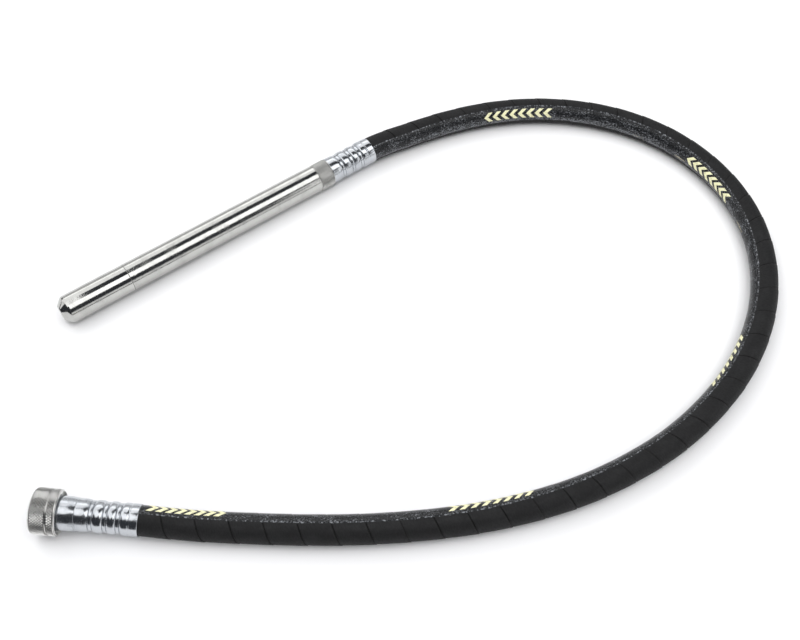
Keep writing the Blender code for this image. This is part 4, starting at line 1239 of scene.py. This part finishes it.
    def surface(self, along: np.ndarray, angle: np.ndarray, lift: float = 0.0) -> np.ndarray:
        """Return points on the hose's surface.

        Args:
            along: Distances along the axis.
            angle: Angles round it from the inner side.
            lift: How far above the surface the points are.

        Returns:
            The points.
        """
        point, inner, up = self.frame_at(along)
        radius = (self.skin(along, angle) + lift)[..., None]
        return point + radius * (np.cos(angle)[..., None] * inner + np.sin(angle)[..., None] * up)

    def build_tube(self) -> bpy.types.Object:
        """Model the hose as a tube whose rows of faces run along the wrapping's seam."""
        rows = np.array(self.bare_rows) * MM
        turns = int(math.ceil(self.length / self.pitch)) + 2
        starts = (np.arange(-1, turns)[:, None] * self.pitch + rows[None, :]).ravel()
        columns = np.arange(self.sides + 1)
        angle = -math.pi + TURN * columns / self.sides
        along = starts[:, None] + self.pitch * columns[None, :] / self.sides
        clamped = np.clip(along, 0.0, self.length)
        angles = np.broadcast_to(angle, along.shape)
        corners = self.surface(clamped[:, :-1], angles[:, :-1])
        count = len(rows)
        total = len(starts)

        def index_of(row: int, column: int) -> int:
            """Return the vertex of a row and column. The last column is the first one, a turn further on."""
            return row * self.sides + column if column < self.sides else (row + count) * self.sides

        faces, uv_along, uv_wrap = [], [], []
        turn_of = self.strip_angle(clamped)
        for row in range(total - count - 1):
            top = row + 1
            if along[top].max() <= 0.0 or along[row].min() >= self.length:
                continue
            seam_low = rows[row % count]
            seam_high = rows[top % count] if top % count else self.pitch
            for column in range(self.sides):
                ring = ((row, column), (top, column), (top, column + 1), (row, column + 1))
                flat = [clamped[r, c] for r, c in ring]
                if max(flat) - min(flat) < 1e-9:
                    continue
                faces.append([index_of(r, c) for r, c in ring])
                for (r, c), off in zip(ring, (seam_low, seam_high, seam_high, seam_low)):
                    uv_along.append((clamped[r, c], (angles[r, c] - turn_of[r, c]) * self.radius))
                    uv_wrap.append((self.radius * angles[r, c], off))
        mesh = bpy.data.meshes.new("hose_cover_wrapped")
        mesh.from_pydata(corners.reshape(-1, 3).tolist(), [], faces)
        for name, values in (("along", uv_along), ("wrap", uv_wrap)):
            layer = mesh.uv_layers.new(name=name)
            layer.data.foreach_set("uv", np.array(values, dtype=np.float32).ravel())
        tube = bpy.data.objects.new("hose_cover_wrapped", mesh)
        bpy.context.scene.collection.objects.link(tube)
        select_only(tube)
        bpy.ops.object.mode_set(mode="EDIT")
        bpy.ops.mesh.select_mode(type="VERT")
        bpy.ops.mesh.select_all(action="SELECT")
        bpy.ops.mesh.delete_loose()
        bpy.ops.mesh.select_all(action="SELECT")
        bpy.ops.mesh.remove_doubles(threshold=2e-6)
        bpy.ops.mesh.select_all(action="DESELECT")
        bpy.ops.mesh.select_non_manifold(extend=False)
        bpy.ops.mesh.edge_face_add()
        bpy.ops.mesh.select_all(action="SELECT")
        bpy.ops.mesh.normals_make_consistent(inside=False)
        bpy.ops.object.mode_set(mode="OBJECT")
        bpy.ops.object.shade_smooth_by_angle(angle=math.radians(60.0))
        return tube

    def block_marks(self, length: float) -> list[Mark]:
        """Return the plain chevrons of one printed block, evenly spaced.

        Args:
            length: The block's length.

        Returns:
            The marks.
        """
        count, width, lean = 8, 6.0 * MM, 3.5 * MM
        step = (length - 2.0 * lean - width) / (count - 1)
        return [Mark(lean + index * step, width, lean) for index in range(count)]

    def build_marks(self) -> bpy.types.Object:
        """Model the printed marks as thin ink films laid on the strip."""
        films = []
        for start, end in self.blocks:
            for mark in self.block_marks(end - start):
                bpy.ops.object.select_all(action="DESELECT")
                bpy.ops.mesh.primitive_grid_add(x_subdivisions=8, y_subdivisions=16, size=1.0)
                film = bpy.context.object
                flat = np.array([vertex.co for vertex in film.data.vertices])
                across = flat[:, 1] * 2.0 * self.mark_half
                lead = mark.lean * (1.0 - 2.0 * np.abs(flat[:, 1] * 2.0))
                along = self.inset + start + mark.offset + (flat[:, 0] + 0.5) * mark.width + lead
                angle = self.strip_angle(along) + across / self.radius
                places = self.surface(along, angle, 0.14 * MM)
                for vertex, place in zip(film.data.vertices, places):
                    vertex.co = place
                films.append(film)
        bpy.ops.object.select_all(action="DESELECT")
        for film in films:
            film.select_set(True)
        bpy.context.view_layer.objects.active = films[0]
        bpy.ops.object.join()
        ink = bpy.context.object
        ink.name = ink.data.name = "hose_printed_marks"
        bpy.ops.object.mode_set(mode="EDIT")
        bpy.ops.mesh.select_all(action="SELECT")
        self._face_out(ink)
        bpy.ops.object.mode_set(mode="OBJECT")
        film = ink.modifiers.new("film", "SOLIDIFY")
        film.thickness, film.offset = 0.24 * MM, -1.0
        bpy.ops.object.modifier_apply(modifier=film.name)
        bpy.ops.object.shade_smooth_by_angle(angle=math.radians(40.0))
        return ink

    def _face_out(self, ink: bpy.types.Object) -> None:
        """Turn the films' faces away from the hose's axis."""
        bpy.ops.object.mode_set(mode="OBJECT")
        line = self._line
        for face in ink.data.polygons:
            gap = line - np.array(face.center)
            nearest = line[np.argmin((gap * gap).sum(axis=1))]
            face.select = Vector(np.array(face.center) - nearest).dot(face.normal) < 0.0
        bpy.ops.object.mode_set(mode="EDIT")
        bpy.ops.mesh.select_mode(type="FACE")
        bpy.ops.mesh.flip_normals()

    def build(self, layers: Sequence[bpy.types.Object]) -> None:
        """Args:
            layers: The CAD nodes of what runs inside the hose from end to end. They are not used.
        """
        tube = self.dress(self.build_tube(), HoseFinish().build(), Body.SHAFT, Slot.HOSE, "hose_cover")
        marks = self.dress(self.build_marks(), InkFinish().build(), Body.SHAFT, Slot.HOSE)
        mouth = tuple(self.coupling.point(self.mouths[0]))


class InnerWorks:
    """The sealed inner pieces, which keep their CAD shape and get their finish.

    Attributes:
        nodes: The CAD nodes by name.
        slots: The record's slot of each node.
        head: The head's axis.
    """

    def __init__(self, frame: dict, head: Axis) -> None:
        """Read the nodes and their slots.

        Args:
            head: The head's axis.
        """
        self.nodes = frame["nodes"]
        self.slots = {part["node"]: part["material_slot"] for part in frame["record"]["subparts"]}
        self.head = head

    def build(self) -> None:
        """Dress every CAD node that is still shown."""
        finishes: dict[str, Callable[[], bpy.types.Material]] = {
            Slot.TURNED.value: lambda: TURNED_STEEL.build(self.head),
            Slot.BEARING.value: lambda: BEARING_STEEL.build(self.head),
            Slot.SPRING.value: lambda: SPRING_STEEL.build(),
            Slot.BRONZE.value: lambda: SINTERED_BRONZE.build(self.head),
            Slot.SEAL.value: NITRILE_RUBBER.build,
            Slot.BRAID.value: TEXTILE_BRAID.build,
        }
        made: dict[str, bpy.types.Material] = {}
        for name, node in self.nodes.items():
            if node.hide_render:
                continue
            slot = self.slots[name]
            if slot not in made:
                made[slot] = finishes[slot]()
            node.data.materials.clear()
            node.data.materials.append(made[slot])
            LOG.info("%s: CAD shape, finish %s", name, made[slot].name)


@dataclass(frozen=True)
class SoftBox:
    """A rectangular light overhead or behind.

    Attributes:
        name: Its name.
        place: Its middle.
        facing: The way it shines.
        along: The way its height runs.
        size: Its width and height.
        radiance: How bright its face is.
        lights_floor: Whether it lights matt surfaces, or is only seen in the metal.
    """

    name: str
    place: tuple[float, float, float]
    facing: tuple[float, float, float]
    along: tuple[float, float, float]
    size: tuple[float, float]
    radiance: float
    lights_floor: bool = True

    def build(self) -> None:
        """Add the light."""
        lamp = bpy.data.lights.new(self.name, "AREA")
        lamp.shape = "RECTANGLE"
        lamp.size, lamp.size_y = self.size
        lamp.energy = self.radiance * math.pi * self.size[0] * self.size[1]
        light = bpy.data.objects.new(self.name, lamp)
        bpy.context.scene.collection.objects.link(light)
        back = -Vector(self.facing).normalized()
        across = Vector(self.along).cross(back).normalized()
        turn = Matrix((across, back.cross(across), back)).transposed().to_4x4()
        light.matrix_world = Matrix.Translation(self.place) @ turn
        light.visible_camera = False
        light.visible_diffuse = self.lights_floor


class Studio:
    """The camera, the pale floor and the soft lights."""

    CAMERA_PLACE = (0.266, -0.640, 1.02795)
    CAMERA_RIGHT = (0.99743, 0.07068, 0.01151)
    CAMERA_UP = (-0.06567, 0.83865, 0.54071)
    BOXES = (
        SoftBox("box_left", (-1.546, 2.62, 2.5), (0.0, 0.0, -1.0), (0.766, 0.643, 0.0), (3.95, 6.0), 1.35),
        SoftBox("box_right", (1.899, -0.084, 2.5), (0.0, 0.0, -1.0), (0.766, 0.643, 0.0), (1.83, 3.6), 2.0),
        SoftBox("box_front", (-0.728, -0.416, 2.5), (0.0, 0.0, -1.0), (0.766, 0.643, 0.0), (1.8, 1.55), 1.6),
        SoftBox("box_back", (-0.6, 3.8, 1.5), (0.1, -1.0, -0.3), (0.0, 0.0, 1.0), (7.0, 3.0), 0.65, False),
        SoftBox("box_low", (4.3, -4.1, 0.75), (-0.72, 0.69, 0.0), (0.0, 0.0, 1.0), (6.0, 2.1), 0.85, False),
        SoftBox("box_east", (5.2, -0.3, 1.9), (-1.0, 0.0, -0.3), (0.0, 0.0, 1.0), (4.0, 3.0), 1.1, False),
        SoftBox("box_west", (-5.2, 0.5, 1.8), (1.0, 0.0, -0.3), (0.0, 0.0, 1.0), (4.0, 3.0), 1.1, False),
    )

    def add_camera(self) -> None:
        """Add the camera."""
        lens = bpy.data.cameras.new("camera")
        lens.lens, lens.sensor_width, lens.sensor_fit = 45.0, 36.0, "HORIZONTAL"
        camera = bpy.data.objects.new("camera", lens)
        bpy.context.scene.collection.objects.link(camera)
        right, up = Vector(self.CAMERA_RIGHT).normalized(), Vector(self.CAMERA_UP)
        back = right.cross(up).normalized()
        turn = Matrix((right, back.cross(right), back)).transposed().to_4x4()
        camera.matrix_world = Matrix.Translation(self.CAMERA_PLACE) @ turn
        bpy.context.scene.camera = camera

    def add_floor(self) -> None:
        """Add the pale floor."""
        bpy.ops.object.select_all(action="DESELECT")
        bpy.ops.mesh.primitive_plane_add(size=80.0, location=(0.2, 0.0, 0.0))
        floor = bpy.context.object
        floor.name = "floor"
        material, tree, shader = new_material("matt_white_floor")
        here = add_node(tree, PLACE).outputs["Object"]
        noise = add_node(tree, NOISE, {}, {"Vector": here, "Scale": 1.5, "Detail": 2.0}).outputs["Fac"]
        tint = {"Factor": noise, 6: linear("#f0f0f0"), 7: linear("#ececee")}
        tree.links.new(add_node(tree, MIX, COLOURS, tint).outputs[2], shader.inputs["Base Color"])
        shader.inputs["Roughness"].default_value = 0.9
        shader.inputs["Specular IOR Level"].default_value = 0.1
        floor.data.materials.append(material)

    def add_lights(self) -> None:
        """Add the soft boxes, a broad fill that mirrors don't show, and the dark room behind them."""
        for box in self.BOXES:
            box.build()
        lamp = bpy.data.lights.new("fill", "SUN")
        lamp.energy, lamp.angle = 1.95, math.radians(100.0)
        fill = bpy.data.objects.new("fill", lamp)
        bpy.context.scene.collection.objects.link(fill)
        fill.matrix_world = Vector((0.15, 0.1, -1.0)).to_track_quat("-Z", "Y").to_matrix().to_4x4()
        fill.visible_glossy = False
        world = bpy.data.worlds.new("studio")
        bpy.context.scene.world = world
        world.use_nodes = True
        tree = world.node_tree
        tree.nodes.clear()
        seen = add_node(tree, "ShaderNodeLightPath").outputs["Is Camera Ray"]
        room = add_node(tree, "ShaderNodeBackground", {}, {"Color": linear("#3b3d41"), "Strength": 1.0})
        paper = add_node(tree, "ShaderNodeBackground", {}, {"Color": linear("#c3c3c5"), "Strength": 1.0})
        mix = add_node(tree, "ShaderNodeMixShader", {}, {0: seen, 1: room.outputs[0], 2: paper.outputs[0]})
        add_node(tree, "ShaderNodeOutputWorld", {}, {0: mix.outputs[0]})
        bpy.context.scene.view_settings.view_transform = "Standard"


def joint_axis(frame: dict, name: str, sign: float) -> Axis:
    """Return the line of a joint as an axis that runs towards the hose.

    Args:
        name: The joint's name.
        sign: 1 if the joint's axis runs towards the hose, or -1.

    Returns:
        The axis.
    """
    joint = next(j for j in frame["joints"] if j["name"] == name)
    return Axis(Vector(joint["pos_m"]), Vector(joint["axis"]).normalized() * sign)


def main() -> None:
    """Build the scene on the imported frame."""
    logging.basicConfig(level=logging.INFO, format="%(name)s: %(message)s")
    for spare in list(bpy.data.objects):
        bpy.data.objects.remove(spare, do_unlink=True)
    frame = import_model()
    studio = Studio()
    studio.add_camera()
    head_axis = joint_axis(frame, "rotor_spin", -1.0)
    coupling_axis = joint_axis(frame, "nut_spin", 1.0)
    layers = [frame["nodes"][name] for name in ("hose_braid", "hose_lining", "guide_liner", "flexible_core")]
    Hose(head_axis, coupling_axis).build(layers)
    Head(head_axis).build()
    Coupling(coupling_axis).build()
    InnerWorks(frame, head_axis).build()
    studio.add_floor()
    studio.add_lights()


if __name__ == "__main__":
    main()
